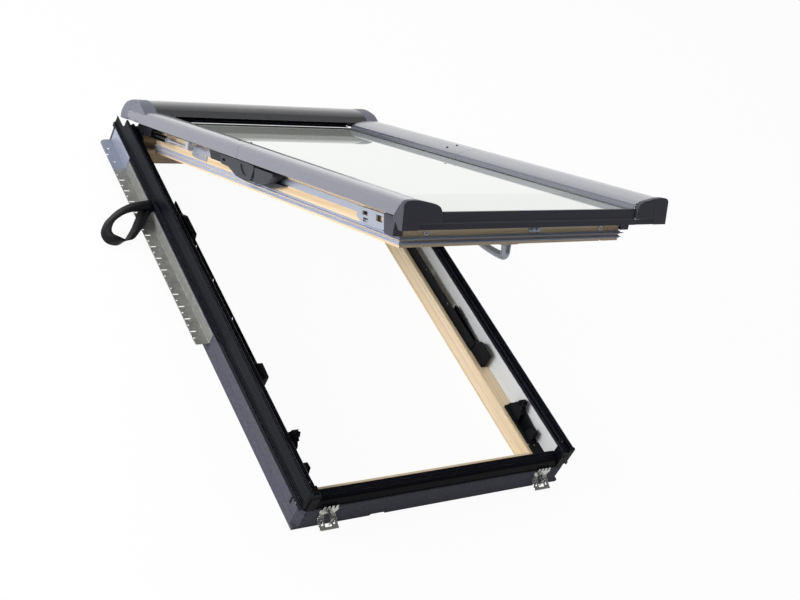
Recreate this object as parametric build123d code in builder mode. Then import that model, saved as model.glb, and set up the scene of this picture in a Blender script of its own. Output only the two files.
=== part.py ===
from build123d import *
from math import cos, sin, radians, hypot
import os

os.makedirs("parts", exist_ok=True)

# Roof skylight, lying flat. X is the width, Y runs up the slope, Z points out of the roof.

# Overall sizes of the fixed frame
frame_width = 820.0
frame_length = 1386.0
lower_edge = -45.0
foam_thick = 22.0
foam_height = 65.0
clear_half = 330.0
lip_height = 52.0
wall_thick = 12.0
side_wall_top = 112.0
bottom_wall_top = 84.0
top_wall_top = 78.0
bottom_lip = 50.0
top_lip = 68.0
gutter_rim = 12.0
hood_relief = 56.0

# Sash, arms and covers
open_angle = 31.2
hinge_from_top = 76.0
hinge_height = 118.0
cover_half = 390.0
cover_skirt = 27.0
cover_inner = 286.0
cover_split = 680.0
sheet = 2.0
sash_half = 326.0
sash_top = 84.0
sash_bottom = 1315.0
sash_depth = 85.4
stile_width = 60.0
closed_cover_height = 138.3
pivot_height = 37.0

# Fits and small sizes
running_gap = 0.3
pin_radius = 5.0
pin_clearance = 0.05
hook_pitch = 44.3
plate_length = 222.0

half_width = frame_width / 2
upper_edge = lower_edge + frame_length
wood_half = half_width - foam_thick
wall_half = wood_half - wall_thick
wood_low = lower_edge + foam_thick
wood_high = upper_edge - foam_thick
opening_low = wood_low + bottom_lip
opening_high = wood_high - top_lip
hinge_y = upper_edge - hinge_from_top
relief_y = upper_edge - hood_relief
liner_face = wall_half - 1.6
liner_band = liner_face - 1.2
fitting_out = liner_band - running_gap

turn_cos = cos(radians(open_angle))
turn_sin = sin(radians(open_angle))
hinge_n = hinge_height - closed_cover_height
hinge_s = 61.4


def at(x, s, n):
    """A point of the open sash: x across, s down from the hood, n out of the cover line."""
    ds = s - hinge_s
    dn = n - hinge_n
    return (x, hinge_y - ds * turn_cos + dn * turn_sin, hinge_height + ds * turn_sin + dn * turn_cos)


def sash_cut(s):
    """Section plane across the sash, looking down it. Extrusions run down the sash."""
    return Plane(origin=at(0, s, 0), x_dir=(1, 0, 0), z_dir=(0, -turn_cos, turn_sin))


def sash_side(x):
    """Side plane of the sash with s and n as axes. Extrusions run towards the left."""
    return Plane(origin=at(x, 0, 0), x_dir=(0, -turn_cos, turn_sin), z_dir=(-1, 0, 0))


def sash_flat(n):
    """Plane parallel to the glass with x and minus s as axes. Extrusions run outwards."""
    return Plane(origin=at(0, 0, n), x_dir=(1, 0, 0), z_dir=(0, turn_sin, turn_cos))


def frame_cut(y):
    """Section plane across the frame. Extrusions run down the slope."""
    return Plane(origin=(0, y, 0), x_dir=(1, 0, 0), z_dir=(0, -1, 0))


def frame_side(x):
    """Side plane of the frame with y and z as axes. Extrusions run towards the right."""
    return Plane(origin=(x, 0, 0), x_dir=(0, 1, 0), z_dir=(1, 0, 0))


def up(points):
    """Turns distances from the lower edge into y."""
    return [(lower_edge + a, b) for a, b in points]


def bent(path, thick):
    """Outline of a folded sheet: the path and its copy to the left of it by the thickness."""
    side = []
    last = len(path) - 1
    for i, (px, py) in enumerate(path):
        normals = []
        for a, b in ((i - 1, i), (i, i + 1)):
            if a >= 0 and b <= last:
                dx = path[b][0] - path[a][0]
                dy = path[b][1] - path[a][1]
                size = hypot(dx, dy)
                normals.append((-dy / size, dx / size))
        nx = sum(v[0] for v in normals)
        ny = sum(v[1] for v in normals)
        size = hypot(nx, ny)
        nx = nx / size
        ny = ny / size
        grow = thick / (nx * normals[0][0] + ny * normals[0][1])
        side.append((px + nx * grow, py + ny * grow))
    return list(path) + side[::-1]


def block(x0, x1, y0, y1, z0, z1, mode=Mode.ADD):
    """Box in the frame's own axes."""
    with Locations(((x0 + x1) / 2, (y0 + y1) / 2, (z0 + z1) / 2)):
        Box(abs(x1 - x0), abs(y1 - y0), abs(z1 - z0), mode=mode)


# Pine stiles of the frame, with a lip, an outer wall and a routed line near the lip's edge
stile_outline = [
    (clear_half, 0),
    (wood_half, 0),
    (wood_half, side_wall_top),
    (wall_half, side_wall_top),
    (wall_half, lip_height),
    (clear_half + 3, lip_height),
    (clear_half, lip_height - 3),
    (clear_half, lip_height - 7),
    (clear_half + 1.2, lip_height - 7.4),
    (clear_half + 1.2, lip_height - 9),
    (clear_half, lip_height - 9.4),
]
with BuildPart() as frame_stile_right:
    with BuildSketch(frame_cut(wood_high)):
        Polygon(*stile_outline, align=None)
    extrude(amount=wood_high - wood_low)
    block(
        wall_half - 2,
        wood_half + 2,
        relief_y,
        wood_high + 2,
        top_wall_top,
        side_wall_top + 2,
        Mode.SUBTRACT,
    )
frame_stile_right.part.label = "frame_stile_right"
with BuildPart() as frame_stile_left:
    mirror(frame_stile_right.part, about=Plane.YZ)
frame_stile_left.part.label = "frame_stile_left"

# Pine rails between the stiles
with BuildPart() as frame_rail_bottom:
    with BuildSketch(frame_side(-clear_half)):
        Polygon(
            (wood_low, 0),
            (opening_low, 0),
            (opening_low, lip_height - 9.4),
            (opening_low - 1.2, lip_height - 9),
            (opening_low - 1.2, lip_height - 7.4),
            (opening_low, lip_height - 7),
            (opening_low, lip_height - 3),
            (opening_low - 3, lip_height),
            (wood_low, lip_height),
            align=None,
        )
    extrude(amount=2 * clear_half)
    block(-wall_half, wall_half, wood_low, wood_low + wall_thick, lip_height, bottom_wall_top)
frame_rail_bottom.part.label = "frame_rail_bottom"
with BuildPart() as frame_rail_top:
    with BuildSketch(frame_side(-clear_half)):
        Polygon(
            (wood_high, 0),
            (opening_high, 0),
            (opening_high, lip_height - 3),
            (opening_high + 3, lip_height),
            (wood_high, lip_height),
            align=None,
        )
    extrude(amount=2 * clear_half)
    block(-wall_half, wall_half, wood_high - wall_thick, wood_high, lip_height, top_wall_top)
frame_rail_top.part.label = "frame_rail_top"

# Pale liners on the inner walls, with a thicker lower band and a diagonal seam at mid length
seam_y = lower_edge + 693
band_height = 10.0
with BuildPart() as liner_right:
    with BuildSketch(frame_cut(relief_y - 2)):
        Polygon(
            (wall_half, lip_height),
            (wall_half, side_wall_top),
            (liner_face, side_wall_top),
            (liner_face, lip_height + band_height + 1.4),
            (liner_band, lip_height + band_height),
            (liner_band, lip_height),
            align=None,
        )
    extrude(amount=relief_y - 2 - (wood_low + wall_thick))
    with BuildSketch(frame_side(wall_half - 12)):
        Polygon(
            (seam_y + 20, lip_height - 1),
            (seam_y + 21, lip_height - 1),
            (seam_y - 14, side_wall_top + 1),
            (seam_y - 15, side_wall_top + 1),
            align=None,
        )
    extrude(amount=11, mode=Mode.SUBTRACT)
liner_right.part.label = "liner_right"
with BuildPart() as liner_left:
    mirror(liner_right.part, about=Plane.YZ)
liner_left.part.label = "liner_left"

# Ribbed side gutter profile, hollow outside the stile's wall
rim_top = foam_height + gutter_rim
gutter_seat = side_wall_top + running_gap
fin_top = side_wall_top + 20
groove = foam_height + 31
head_fin_top = 100.0
gutter_outline = [
    (half_width, foam_height),
    (half_width, rim_top),
    (half_width - 2.4, rim_top + 1.6),
    (half_width - 4.4, rim_top + 1.6),
    (half_width - 5.2, groove),
    (half_width - 4.2, groove + 2),
    (half_width - 4.6, fin_top - 6),
    (half_width - 5.5, fin_top - 1.5),
    (half_width - 8.5, fin_top),
    (half_width - 10.5, fin_top - 1.5),
    (half_width - 11, gutter_seat + 6.2),
    (half_width - 12.5, gutter_seat + 3.2),
    (half_width - 14.5, gutter_seat + 3.2),
    (half_width - 15.2, gutter_seat + 6.2),
    (half_width - 18.4, gutter_seat + 6.2),
    (half_width - 19, gutter_seat + 2.7),
    (wall_half + 9.6, gutter_seat + 2.7),
    (wall_half + 8.6, gutter_seat + 5.7),
    (wall_half + 4, gutter_seat + 5.7),
    (wall_half + 1.5, gutter_seat + 4.2),
    (wall_half, gutter_seat + 2.2),
    (wall_half, gutter_seat),
    (half_width - 14.2, gutter_seat),
    (half_width - 9.5, gutter_seat + 1.7),
    (half_width - 8.8, fin_top - 3.5),
    (half_width - 7, fin_top - 3.5),
    (half_width - 7, groove + 3),
    (half_width - 7.8, groove),
    (half_width - 7, rim_top - 1),
    (half_width - 2.4, rim_top - 1),
    (half_width - 2.4, foam_height),
]
with BuildPart() as gutter_right:
    with BuildSketch(frame_cut(upper_edge)):
        Polygon(*gutter_outline, align=None)
    extrude(amount=frame_length - 10)
    block(
        wall_half - 5,
        half_width - 17.5,
        relief_y,
        upper_edge + 2,
        top_wall_top,
        fin_top + 8,
        Mode.SUBTRACT,
    )
    block(half_width - 18, half_width + 1, relief_y, upper_edge + 2, head_fin_top, fin_top + 8, Mode.SUBTRACT)
gutter_right.part.label = "gutter_right"
with BuildPart() as gutter_left:
    mirror(gutter_right.part, about=Plane.YZ)
gutter_left.part.label = "gutter_left"

# Bottom and top gutter profiles
bottom_gutter_half = wall_half - 5
with BuildPart() as gutter_bottom:
    with BuildSketch(frame_side(-bottom_gutter_half)):
        Polygon(
            *up(
                [
                    (0.4, foam_height),
                    (0.4, foam_height + 4),
                    (3, foam_height + 6),
                    (8, 87),
                    (12, 92.5),
                    (17, 93),
                    (18, 90.5),
                    (21, 90.5),
                    (22, 93),
                    (27, 93),
                    (28, 91),
                    (31, 91),
                    (32, 93.5),
                    (36.5, 93.5),
                    (36.5, 78),
                    (34.3, 78),
                    (34.3, bottom_wall_top + running_gap + 4),
                    (16, bottom_wall_top + running_gap + 4),
                    (12, 86.5),
                    (5, foam_height + 4.4),
                    (2.8, foam_height + 3),
                    (2.8, foam_height),
                ]
            ),
            align=None,
        )
    extrude(amount=2 * bottom_gutter_half)
gutter_bottom.part.label = "gutter_bottom"
top_gutter_half = wood_half - 0.5
with BuildPart() as gutter_top:
    with BuildSketch(frame_side(-top_gutter_half)):
        Polygon(
            (upper_edge - 12, foam_height),
            (upper_edge - 12, foam_height + 3),
            (upper_edge - 18, 79),
            (upper_edge - 25, 85),
            (upper_edge - 30, 85),
            (upper_edge - 31, 83),
            (upper_edge - 34, 83),
            (upper_edge - 35, 86),
            (upper_edge - 39, 86),
            (upper_edge - 39, 70),
            (upper_edge - 36.6, 70),
            (upper_edge - 36.6, top_wall_top + running_gap),
            (upper_edge - 22, top_wall_top + running_gap),
            (upper_edge - 20, 77),
            (upper_edge - 14.4, foam_height + 2),
            (upper_edge - 14.4, foam_height),
            align=None,
        )
    extrude(amount=2 * top_gutter_half)
    for side in (-1, 1):
        block(
            side * (wall_half - running_gap),
            side * (half_width - 10),
            upper_edge - 40,
            upper_edge - 36,
            foam_height + 4,
            top_wall_top + running_gap,
            Mode.SUBTRACT,
        )
gutter_top.part.label = "gutter_top"

# Insulation foam round the outside
groove_height = 32.0
foam_side_outline = [
    (wood_half, 0),
    (half_width, 0),
    (half_width, groove_height - 1),
    (half_width - 1.8, groove_height),
    (half_width, groove_height + 1),
    (half_width, foam_height),
    (wood_half, foam_height),
]
with BuildPart() as foam_right:
    with BuildSketch(frame_cut(wood_high)):
        Polygon(*foam_side_outline, align=None)
    extrude(amount=wood_high - wood_low - 18)
    block(
        half_width - 5,
        half_width + 1,
        wood_low + 18,
        wood_low + 27,
        groove_height + 12,
        foam_height + 1,
        Mode.SUBTRACT,
    )
foam_right.part.label = "foam_right"
with BuildPart() as foam_left:
    mirror(foam_right.part, about=Plane.YZ)
foam_left.part.label = "foam_left"

plug_radius = 3.2
bevel = 16.0
bevel_foot = 8.0
with BuildPart() as foam_bottom:
    with BuildSketch(Plane.XY):
        Polygon(
            (-half_width, lower_edge),
            (half_width, lower_edge),
            (half_width, wood_low + 18),
            (wood_half, wood_low + 18),
            (wood_half, wood_low),
            (-wood_half, wood_low),
            (-wood_half, wood_low + 18),
            (-half_width, wood_low + 18),
            align=None,
        )
    extrude(amount=foam_height)
    for side in (-1, 1):
        with BuildSketch(Plane.XY.offset(bevel_foot)):
            Polygon(
                (side * (half_width - bevel), lower_edge - 1),
                (side * (half_width + 1), lower_edge - 1),
                (side * (half_width + 1), lower_edge + bevel),
                (side * (half_width - bevel), lower_edge),
                align=None,
            )
        extrude(amount=foam_height, mode=Mode.SUBTRACT)
        with BuildSketch(frame_cut(lower_edge + 12)):
            with Locations((side * (half_width - 19), 54)):
                Circle(plug_radius)
        extrude(amount=14, mode=Mode.SUBTRACT)
        block(
            side * (half_width - 2),
            side * (half_width + 1),
            lower_edge + 12,
            wood_low + 19,
            groove_height - 0.8,
            groove_height + 0.8,
            Mode.SUBTRACT,
        )
    with BuildSketch(frame_cut(lower_edge + 3)):
        with Locations((-170, 0)):
            Ellipse(22, 11)
    extrude(amount=5, mode=Mode.SUBTRACT)
    block(-300, -192, lower_edge - 1, lower_edge + 1, 5.5, 6.5, Mode.SUBTRACT)
foam_bottom.part.label = "foam_bottom"
with BuildPart() as foam_top:
    block(-half_width, half_width, wood_high, upper_edge - 10, 0, foam_height)
foam_top.part.label = "foam_top"

# Moulded corner covers that close the lower ends of the side gutters
cover_tab = gutter_seat + 6.5
tab_sheet = 2.2
with BuildPart() as corner_cover_right:
    with BuildSketch(frame_cut(lower_edge + 9.7)):
        Polygon(
            (bottom_gutter_half, foam_height),
            (half_width - bevel, foam_height),
            (half_width - bevel + 2, foam_height + 6),
            (half_width + 0.6, foam_height + 8),
            (half_width + 0.6, rim_top + 1),
            (half_width - 3, rim_top + 3),
            (half_width - 3.4, fin_top - 3),
            (half_width - 5, fin_top + 1),
            (half_width - 11.5, fin_top + 1),
            (half_width - 13, cover_tab + 5),
            (half_width - 15, cover_tab + tab_sheet),
            (wall_half + 1, cover_tab + tab_sheet),
            (wall_half - 3, gutter_seat + 4),
            (bottom_gutter_half, gutter_seat - 2),
            align=None,
        )
    extrude(amount=6)
    with BuildSketch(frame_side(bottom_gutter_half)):
        Polygon(
            *up([(3.7, foam_height), (3.7, 112), (1.6, 104), (0.6, foam_height + 14), (0.6, foam_height)]),
            align=None,
        )
    extrude(amount=half_width - bevel - bottom_gutter_half)
    block(half_width + 0.3, half_width + 2, lower_edge + 3.7, lower_edge + 34, foam_height + 1, rim_top)
    block(
        wall_half + 4,
        half_width - 14.5,
        lower_edge + 3.7,
        lower_edge + 46,
        cover_tab,
        cover_tab + tab_sheet,
    )
    block(
        wall_half - 4.7,
        wall_half - running_gap,
        lower_edge + 9.7,
        wood_low + wall_thick - running_gap,
        bottom_wall_top + running_gap,
        gutter_seat + 3,
    )
corner_cover_right.part.label = "corner_cover_right"
with BuildPart() as corner_cover_left:
    mirror(corner_cover_right.part, about=Plane.YZ)
corner_cover_left.part.label = "corner_cover_left"

# Perforated angle plates, three on each side
plate_z = groove_height
plate_out = 39.0
plate_sheet = 1.8
plate_first = lower_edge + 564
hole_count = 5
plate_hole = 2.75
first_hole = (plate_length - (hole_count - 1) * hook_pitch) / 2
with BuildPart() as mounting_plates:
    for step in range(3):
        start = plate_first + step * (plate_length + 1.0)
        with BuildSketch(frame_cut(start + plate_length)):
            Polygon(
                *bent(
                    [
                        (half_width + plate_out, plate_z),
                        (half_width + running_gap + plate_sheet, plate_z),
                        (half_width + running_gap + plate_sheet, foam_height - 3),
                    ],
                    plate_sheet,
                ),
                align=None,
            )
        extrude(amount=plate_length)
        with BuildSketch(Plane.XY.offset(plate_z - 5)):
            for i in range(hole_count):
                with Locations((half_width + plate_out - 4.3, start + first_hole + i * hook_pitch)):
                    Circle(plate_hole)
            for i in range(hole_count - 1):
                with Locations((half_width + plate_out - 10, start + first_hole + (i + 0.5) * hook_pitch)):
                    SlotOverall(17, 5)
        extrude(amount=10, mode=Mode.SUBTRACT)
    mirror(about=Plane.YZ)
mounting_plates.part.label = "mounting_plates"

# Paler end bracket above the plates, with a rounded corner, a notch and holes
bracket_low = plate_first + 3 * (plate_length + 1.0) + 1
bracket_length = 128.0
with BuildPart() as end_bracket_right:
    with BuildSketch(frame_cut(bracket_low + bracket_length)):
        Polygon(
            *bent(
                [
                    (half_width + plate_out, plate_z),
                    (half_width + running_gap + plate_sheet, plate_z),
                    (half_width + running_gap + plate_sheet, foam_height + 8),
                ],
                plate_sheet,
            ),
            align=None,
        )
    extrude(amount=bracket_length)
    with BuildSketch(Plane.XY.offset(plate_z - 5)):
        Polygon(
            (half_width + plate_out + 1, bracket_low + bracket_length - 16),
            (half_width + plate_out + 1, bracket_low + bracket_length + 1),
            (half_width + plate_out - 16, bracket_low + bracket_length + 1),
            (half_width + plate_out - 5, bracket_low + bracket_length - 5),
            align=None,
        )
        with Locations((half_width + plate_out, bracket_low + 62)):
            SlotOverall(16, 7)
        with Locations((half_width + plate_out - 14, bracket_low + 88)):
            Circle(3.5)
        with Locations((half_width + plate_out - 14, bracket_low + 30)):
            Circle(2.75)
    extrude(amount=10, mode=Mode.SUBTRACT)
end_bracket_right.part.label = "end_bracket_right"
with BuildPart() as end_bracket_left:
    mirror(end_bracket_right.part, about=Plane.YZ)
end_bracket_left.part.label = "end_bracket_left"

# Spring clips for the flashing: a toothed plate, two bowed legs and a bar that joins their feet
clip_x = 329.5
clip_half = 26.0
clip_sheet = 1.4
tooth_pitch = 11.4
with BuildPart() as flashing_clips:
    clip_bends = [(-1.4, foam_height - 3), (-1.4, 44), (-6, 37), (-14, 31), (-24, 27), (-33, 25)]
    with BuildSketch(frame_side(clip_x - clip_half)):
        Polygon(*up(bent(clip_bends, clip_sheet)), align=None)
    extrude(amount=2 * clip_half)
    block(clip_x - 9, clip_x + 9, lower_edge - 26, lower_edge, 2, 46, Mode.SUBTRACT)
    for side in (-1, 1):
        with BuildSketch(frame_cut(lower_edge)):
            Polygon(
                (clip_x + side * (clip_half + 1), foam_height - 9),
                (clip_x + side * (clip_half - 5.5), 46),
                (clip_x + side * (clip_half + 1), 32),
                align=None,
            )
        extrude(amount=20, mode=Mode.SUBTRACT)
        block(
            clip_x + side * 14,
            clip_x + side * 19,
            lower_edge - 22,
            lower_edge - 10,
            22,
            42,
            Mode.SUBTRACT,
        )
    for i in range(4):
        block(
            clip_x + (i - 1.5) * tooth_pitch - 3.2,
            clip_x + (i - 1.5) * tooth_pitch + 3.2,
            lower_edge - 2.8,
            lower_edge - 1.4,
            foam_height - 3.1,
            foam_height + 9,
        )
    block(clip_x - 7.5, clip_x - 1.5, lower_edge - 20, lower_edge - 1.4, 45, 47)
    block(clip_x - 7.5, clip_x - 1.5, lower_edge - 21.4, lower_edge - 20, 24, 47)
    mirror(about=Plane.YZ)
flashing_clips.part.label = "flashing_clips"

# Small pan-head screws of the frame: two per corner cover and one per stop plate
screw_head = 2.3
stop_y = lower_edge + 84
stop_x = clear_half + 22
stop_height = 9.0
with BuildPart() as frame_screws:
    with BuildSketch(Plane.XY.offset(cover_tab + tab_sheet)):
        with Locations((half_width - 21, lower_edge + 40)):
            Circle(screw_head)
    extrude(amount=1.6)
    with BuildSketch(frame_side(half_width + 2)):
        with Locations((lower_edge + 25, foam_height + 6.5)):
            Circle(screw_head)
    extrude(amount=1.6)
    with BuildSketch(Plane.XY.offset(lip_height + stop_height)):
        with Locations((stop_x, stop_y)):
            Circle(screw_head)
    extrude(amount=1.6)
    mirror(about=Plane.YZ)
frame_screws.part.label = "frame_screws"

# Screwed stop plates on the lip
with BuildPart() as stop_plates:
    block(clear_half + 11.5, fitting_out, stop_y - 36, stop_y + 8, lip_height, lip_height + stop_height)
    mirror(about=Plane.YZ)
stop_plates.part.label = "stop_plates"

# Keepers: a base against the wall, a toothed upper lug and a bevelled lower boss
keeper_low = lower_edge + 97
keeper_high = lower_edge + 230
keeper_in = clear_half + 12
lug_in = clear_half + 17
lug_out = clear_half + 31
base_top = lip_height + 8
with BuildPart() as keepers:
    block(keeper_in, fitting_out, keeper_low, keeper_high, lip_height, base_top)
    with BuildSketch(frame_side(lug_in)):
        Polygon(
            (keeper_high, base_top - 1),
            (keeper_high - 8, base_top + 17),
            (keeper_high - 16, base_top + 28),
            (keeper_high - 26, base_top + 44),
            (keeper_high - 28, base_top + 52),
            (keeper_high - 34, base_top + 59),
            (keeper_high - 43, base_top + 61),
            (keeper_high - 49, base_top + 48),
            (keeper_high - 45, base_top + 44),
            (keeper_high - 54, base_top + 40),
            (keeper_high - 50, base_top + 33),
            (keeper_high - 58, base_top + 24),
            (keeper_high - 62, base_top - 1),
            align=None,
        )
        Polygon(
            (keeper_low, base_top - 1),
            (keeper_low, base_top + 16),
            (keeper_low + 4, base_top + 32),
            (keeper_low + 22, base_top + 30),
            (keeper_low + 31, base_top + 12),
            (keeper_low + 34, base_top - 1),
            align=None,
        )
    extrude(amount=lug_out - lug_in)
    with BuildSketch(frame_side(lug_out - 1)):
        with Locations((keeper_high - 36, base_top + 30)):
            Circle(8)
        with Locations((keeper_low + 14, base_top + 15)):
            Circle(7)
    extrude(amount=7)
    with BuildSketch(frame_side(lug_out)):
        Polygon(
            (keeper_low + 12, base_top - 1),
            (keeper_low + 12, base_top + 20),
            (keeper_high - 60, base_top + 26),
            (keeper_high - 40, base_top + 30),
            (keeper_high - 40, base_top - 1),
            align=None,
        )
    extrude(amount=6)
    with BuildSketch(Plane.XY.offset(base_top + 40)):
        with Locations((lug_in, keeper_high - 38)):
            Circle(4.5)
    extrude(amount=40, mode=Mode.SUBTRACT)
    mirror(about=Plane.YZ)
keepers.part.label = "keepers"

# Stay bars on edge: a steel strip with three holes
bar_low = lower_edge + 440
bar_high = lower_edge + 1043
bar_in = clear_half + 14.5
bar_sheet = 2.0
bar_height = 32.5
with BuildPart() as stay_bars:
    with BuildSketch(frame_side(bar_in)):
        with Locations(((bar_low + bar_high) / 2, lip_height + bar_height / 2)):
            Rectangle(bar_high - bar_low, bar_height)
        for hole_y in (603, 743, 872):
            with Locations((lower_edge + hole_y, lip_height + 23.5)):
                Circle(3.8, mode=Mode.SUBTRACT)
    extrude(amount=bar_sheet)
    mirror(about=Plane.YZ)
stay_bars.part.label = "stay_bars"

# Stay blocks: a bevelled block at the foot of each bar, with an arm that runs up beside it
stay_low = lower_edge + 375
stay_high = lower_edge + 450
arm_high = lower_edge + 585
arm_side = clear_half + 28
with BuildPart() as stay_blocks:
    with BuildSketch(frame_side(lug_in)):
        Polygon(
            (stay_low, lip_height),
            (stay_low, lip_height + 52),
            (stay_low + 4, lip_height + 54),
            (stay_high - 30, lip_height + 56),
            (stay_high - 13, lip_height + 36),
            (stay_high, lip_height + bar_height),
            (stay_high, lip_height),
            align=None,
        )
    extrude(amount=15)
    with BuildSketch(frame_cut(stay_high + 1)):
        Polygon(
            (lug_in + 2, lip_height + 56.5),
            (lug_in + 16, lip_height + 42),
            (lug_in + 16, lip_height + 60),
            (lug_in + 2, lip_height + 60),
            align=None,
        )
    extrude(amount=stay_high - stay_low + 2, mode=Mode.SUBTRACT)
    with BuildSketch(frame_side(arm_side)):
        Polygon(
            (stay_high - 5, lip_height),
            (stay_high - 5, lip_height + 27),
            (arm_high - 8, lip_height + 37),
            (arm_high, lip_height + 34),
            (arm_high, lip_height),
            align=None,
        )
        with Locations((arm_high - 14, lip_height + 28), (arm_high - 40, lip_height + 26)):
            Circle(2.4, mode=Mode.SUBTRACT)
    extrude(amount=3)
    mirror(about=Plane.YZ)
stay_blocks.part.label = "stay_blocks"

# Stepped guide blocks at the upper ends of the stay bars, each with a pocket on its wall side
guide_low = lower_edge + 884
guide_high = lower_edge + 1034
guide_in = clear_half + 18
guide_out = clear_half + 31
with BuildPart() as guide_blocks:
    with BuildSketch(frame_side(guide_in)):
        Polygon(
            (guide_low, lip_height),
            (guide_low, lip_height + 40),
            (guide_low + 3, lip_height + 54),
            (guide_low + 74, lip_height + 54),
            (guide_low + 94, lip_height + 42),
            (guide_low + 97, lip_height + 37.5),
            (guide_low + 104, lip_height + 39),
            (guide_low + 110, lip_height + 32),
            (guide_high - 14, lip_height + 28),
            (guide_high - 4, lip_height + 24),
            (guide_high, lip_height + 18),
            (guide_high, lip_height),
            align=None,
        )
    extrude(amount=guide_out - guide_in)
    with BuildSketch(frame_side(guide_out - 4)):
        with Locations((guide_low + 40, lip_height + 37)):
            Rectangle(64, 23)
    extrude(amount=5, mode=Mode.SUBTRACT)
    block(bar_in + bar_sheet, guide_in, guide_low + 30, guide_low + 44, lip_height, lip_height + 12)
    mirror(about=Plane.YZ)
guide_blocks.part.label = "guide_blocks"

# Hinge plates with their pins at the top of the stiles
arm_in = 362.0
arm_thick = 5.0
with BuildPart() as hinge_plates:
    with BuildSketch(frame_side(368.0)):
        Polygon(
            (hinge_y - 70, lip_height + 3),
            (hinge_y - 70, 84),
            (hinge_y - 14, hinge_height + 12),
            (hinge_y + 10, hinge_height + 10),
            (hinge_y + 16, 100),
            (hinge_y + 14, lip_height + 3),
            align=None,
        )
    extrude(amount=3)
    block(371, liner_face - 0.2, hinge_y - 62, hinge_y + 10, lip_height + band_height + 2, 104)
    with BuildSketch(frame_side(arm_in - 3)):
        with Locations((hinge_y, hinge_height)):
            Circle(pin_radius)
    extrude(amount=6.2 + 3)
    with BuildSketch(frame_side(arm_in - 3)):
        with Locations((hinge_y, hinge_height)):
            Circle(pin_radius + 3.5)
    extrude(amount=2.6)
    mirror(about=Plane.YZ)
hinge_plates.part.label = "hinge_plates"

# Webbing loop hanging from the left side, its width along the slope
strap_width = 36.0
strap_thick = 2.0
strap_sections = 40
strap_path = [
    (-half_width - running_gap, 1045, 69.5),
    (-444, 1043, 65),
    (-480, 1035, 63),
    (-516, 1020, 53),
    (-541, 1000, 36),
    (-545, 978, 22),
    (-524, 958, 16),
    (-498, 957, 22),
    (-473, 975, 38),
    (-452, 1002, 50),
    (-431, 1030, 61),
    (-half_width - running_gap, 1044, 66.5),
]
with BuildPart() as strap_loop:
    with BuildLine() as strap_centre:
        Spline(*[(x, lower_edge + y, z) for x, y, z in strap_path])
    for i in range(strap_sections):
        place = i / (strap_sections - 1)
        along = strap_centre.line % place
        flat = Vector(along.X, 0, along.Z).normalized()
        with BuildSketch(Plane(origin=strap_centre.line @ place, x_dir=(0, 1, 0), z_dir=flat)):
            Rectangle(strap_width, strap_thick)
    loft(ruled=True)
strap_loop.part.label = "strap_loop"

# Flat lifting arms, with lugs up to the covers and the hinge eye
lug_top = 33.1
arm_top = 14.0
with BuildPart() as lift_arms:
    with BuildSketch(sash_side(arm_in + arm_thick)):
        Polygon(
            (hinge_s - 12, -9),
            (hinge_s + 30, arm_top),
            (134, arm_top),
            (146, lug_top),
            (170, lug_top),
            (180, arm_top),
            (380, arm_top),
            (390, lug_top),
            (414, lug_top),
            (424, arm_top),
            (590, arm_top),
            (600, lug_top),
            (628, lug_top),
            (636, arm_top),
            (640, arm_top - 4),
            (640, -31),
            (500, -30),
            (488, -9),
            (140, -9),
            (120, -34),
            (hinge_s + 4, -34),
            (hinge_s - 10, -31),
            align=None,
        )
        with Locations((hinge_s, hinge_n)):
            Circle(14)
        with Locations((hinge_s, hinge_n)):
            Circle(pin_radius + pin_clearance, mode=Mode.SUBTRACT)
    extrude(amount=arm_thick)
    mirror(about=Plane.YZ)
lift_arms.part.label = "lift_arms"

# Struts beside the arms: a dark tube and its bright rod
strut_x = 351.5
strut_pad = arm_in - running_gap - strut_x
with BuildPart() as struts:
    strut_plane = Plane(origin=at(strut_x, 73, -29.5), x_dir=(1, 0, 0), z_dir=(0, -turn_cos, turn_sin))
    with BuildSketch(strut_plane):
        Circle(9)
    extrude(amount=138)
    with BuildSketch(strut_plane.offset(138)):
        Circle(4)
    extrude(amount=126)
    with BuildSketch(strut_plane.offset(264)):
        Circle(6.5)
    extrude(amount=16)
    with BuildSketch(strut_plane.offset(30)):
        with Locations((strut_pad / 2, 0)):
            Rectangle(strut_pad, 8)
    extrude(amount=12)
    with BuildSketch(sash_side(arm_in - running_gap)):
        Polygon((336, -34), (352, -34), (358, arm_top - 4), (342, arm_top - 4), align=None)
    extrude(amount=strut_pad)
    mirror(about=Plane.YZ)
struts.part.label = "struts"

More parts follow.
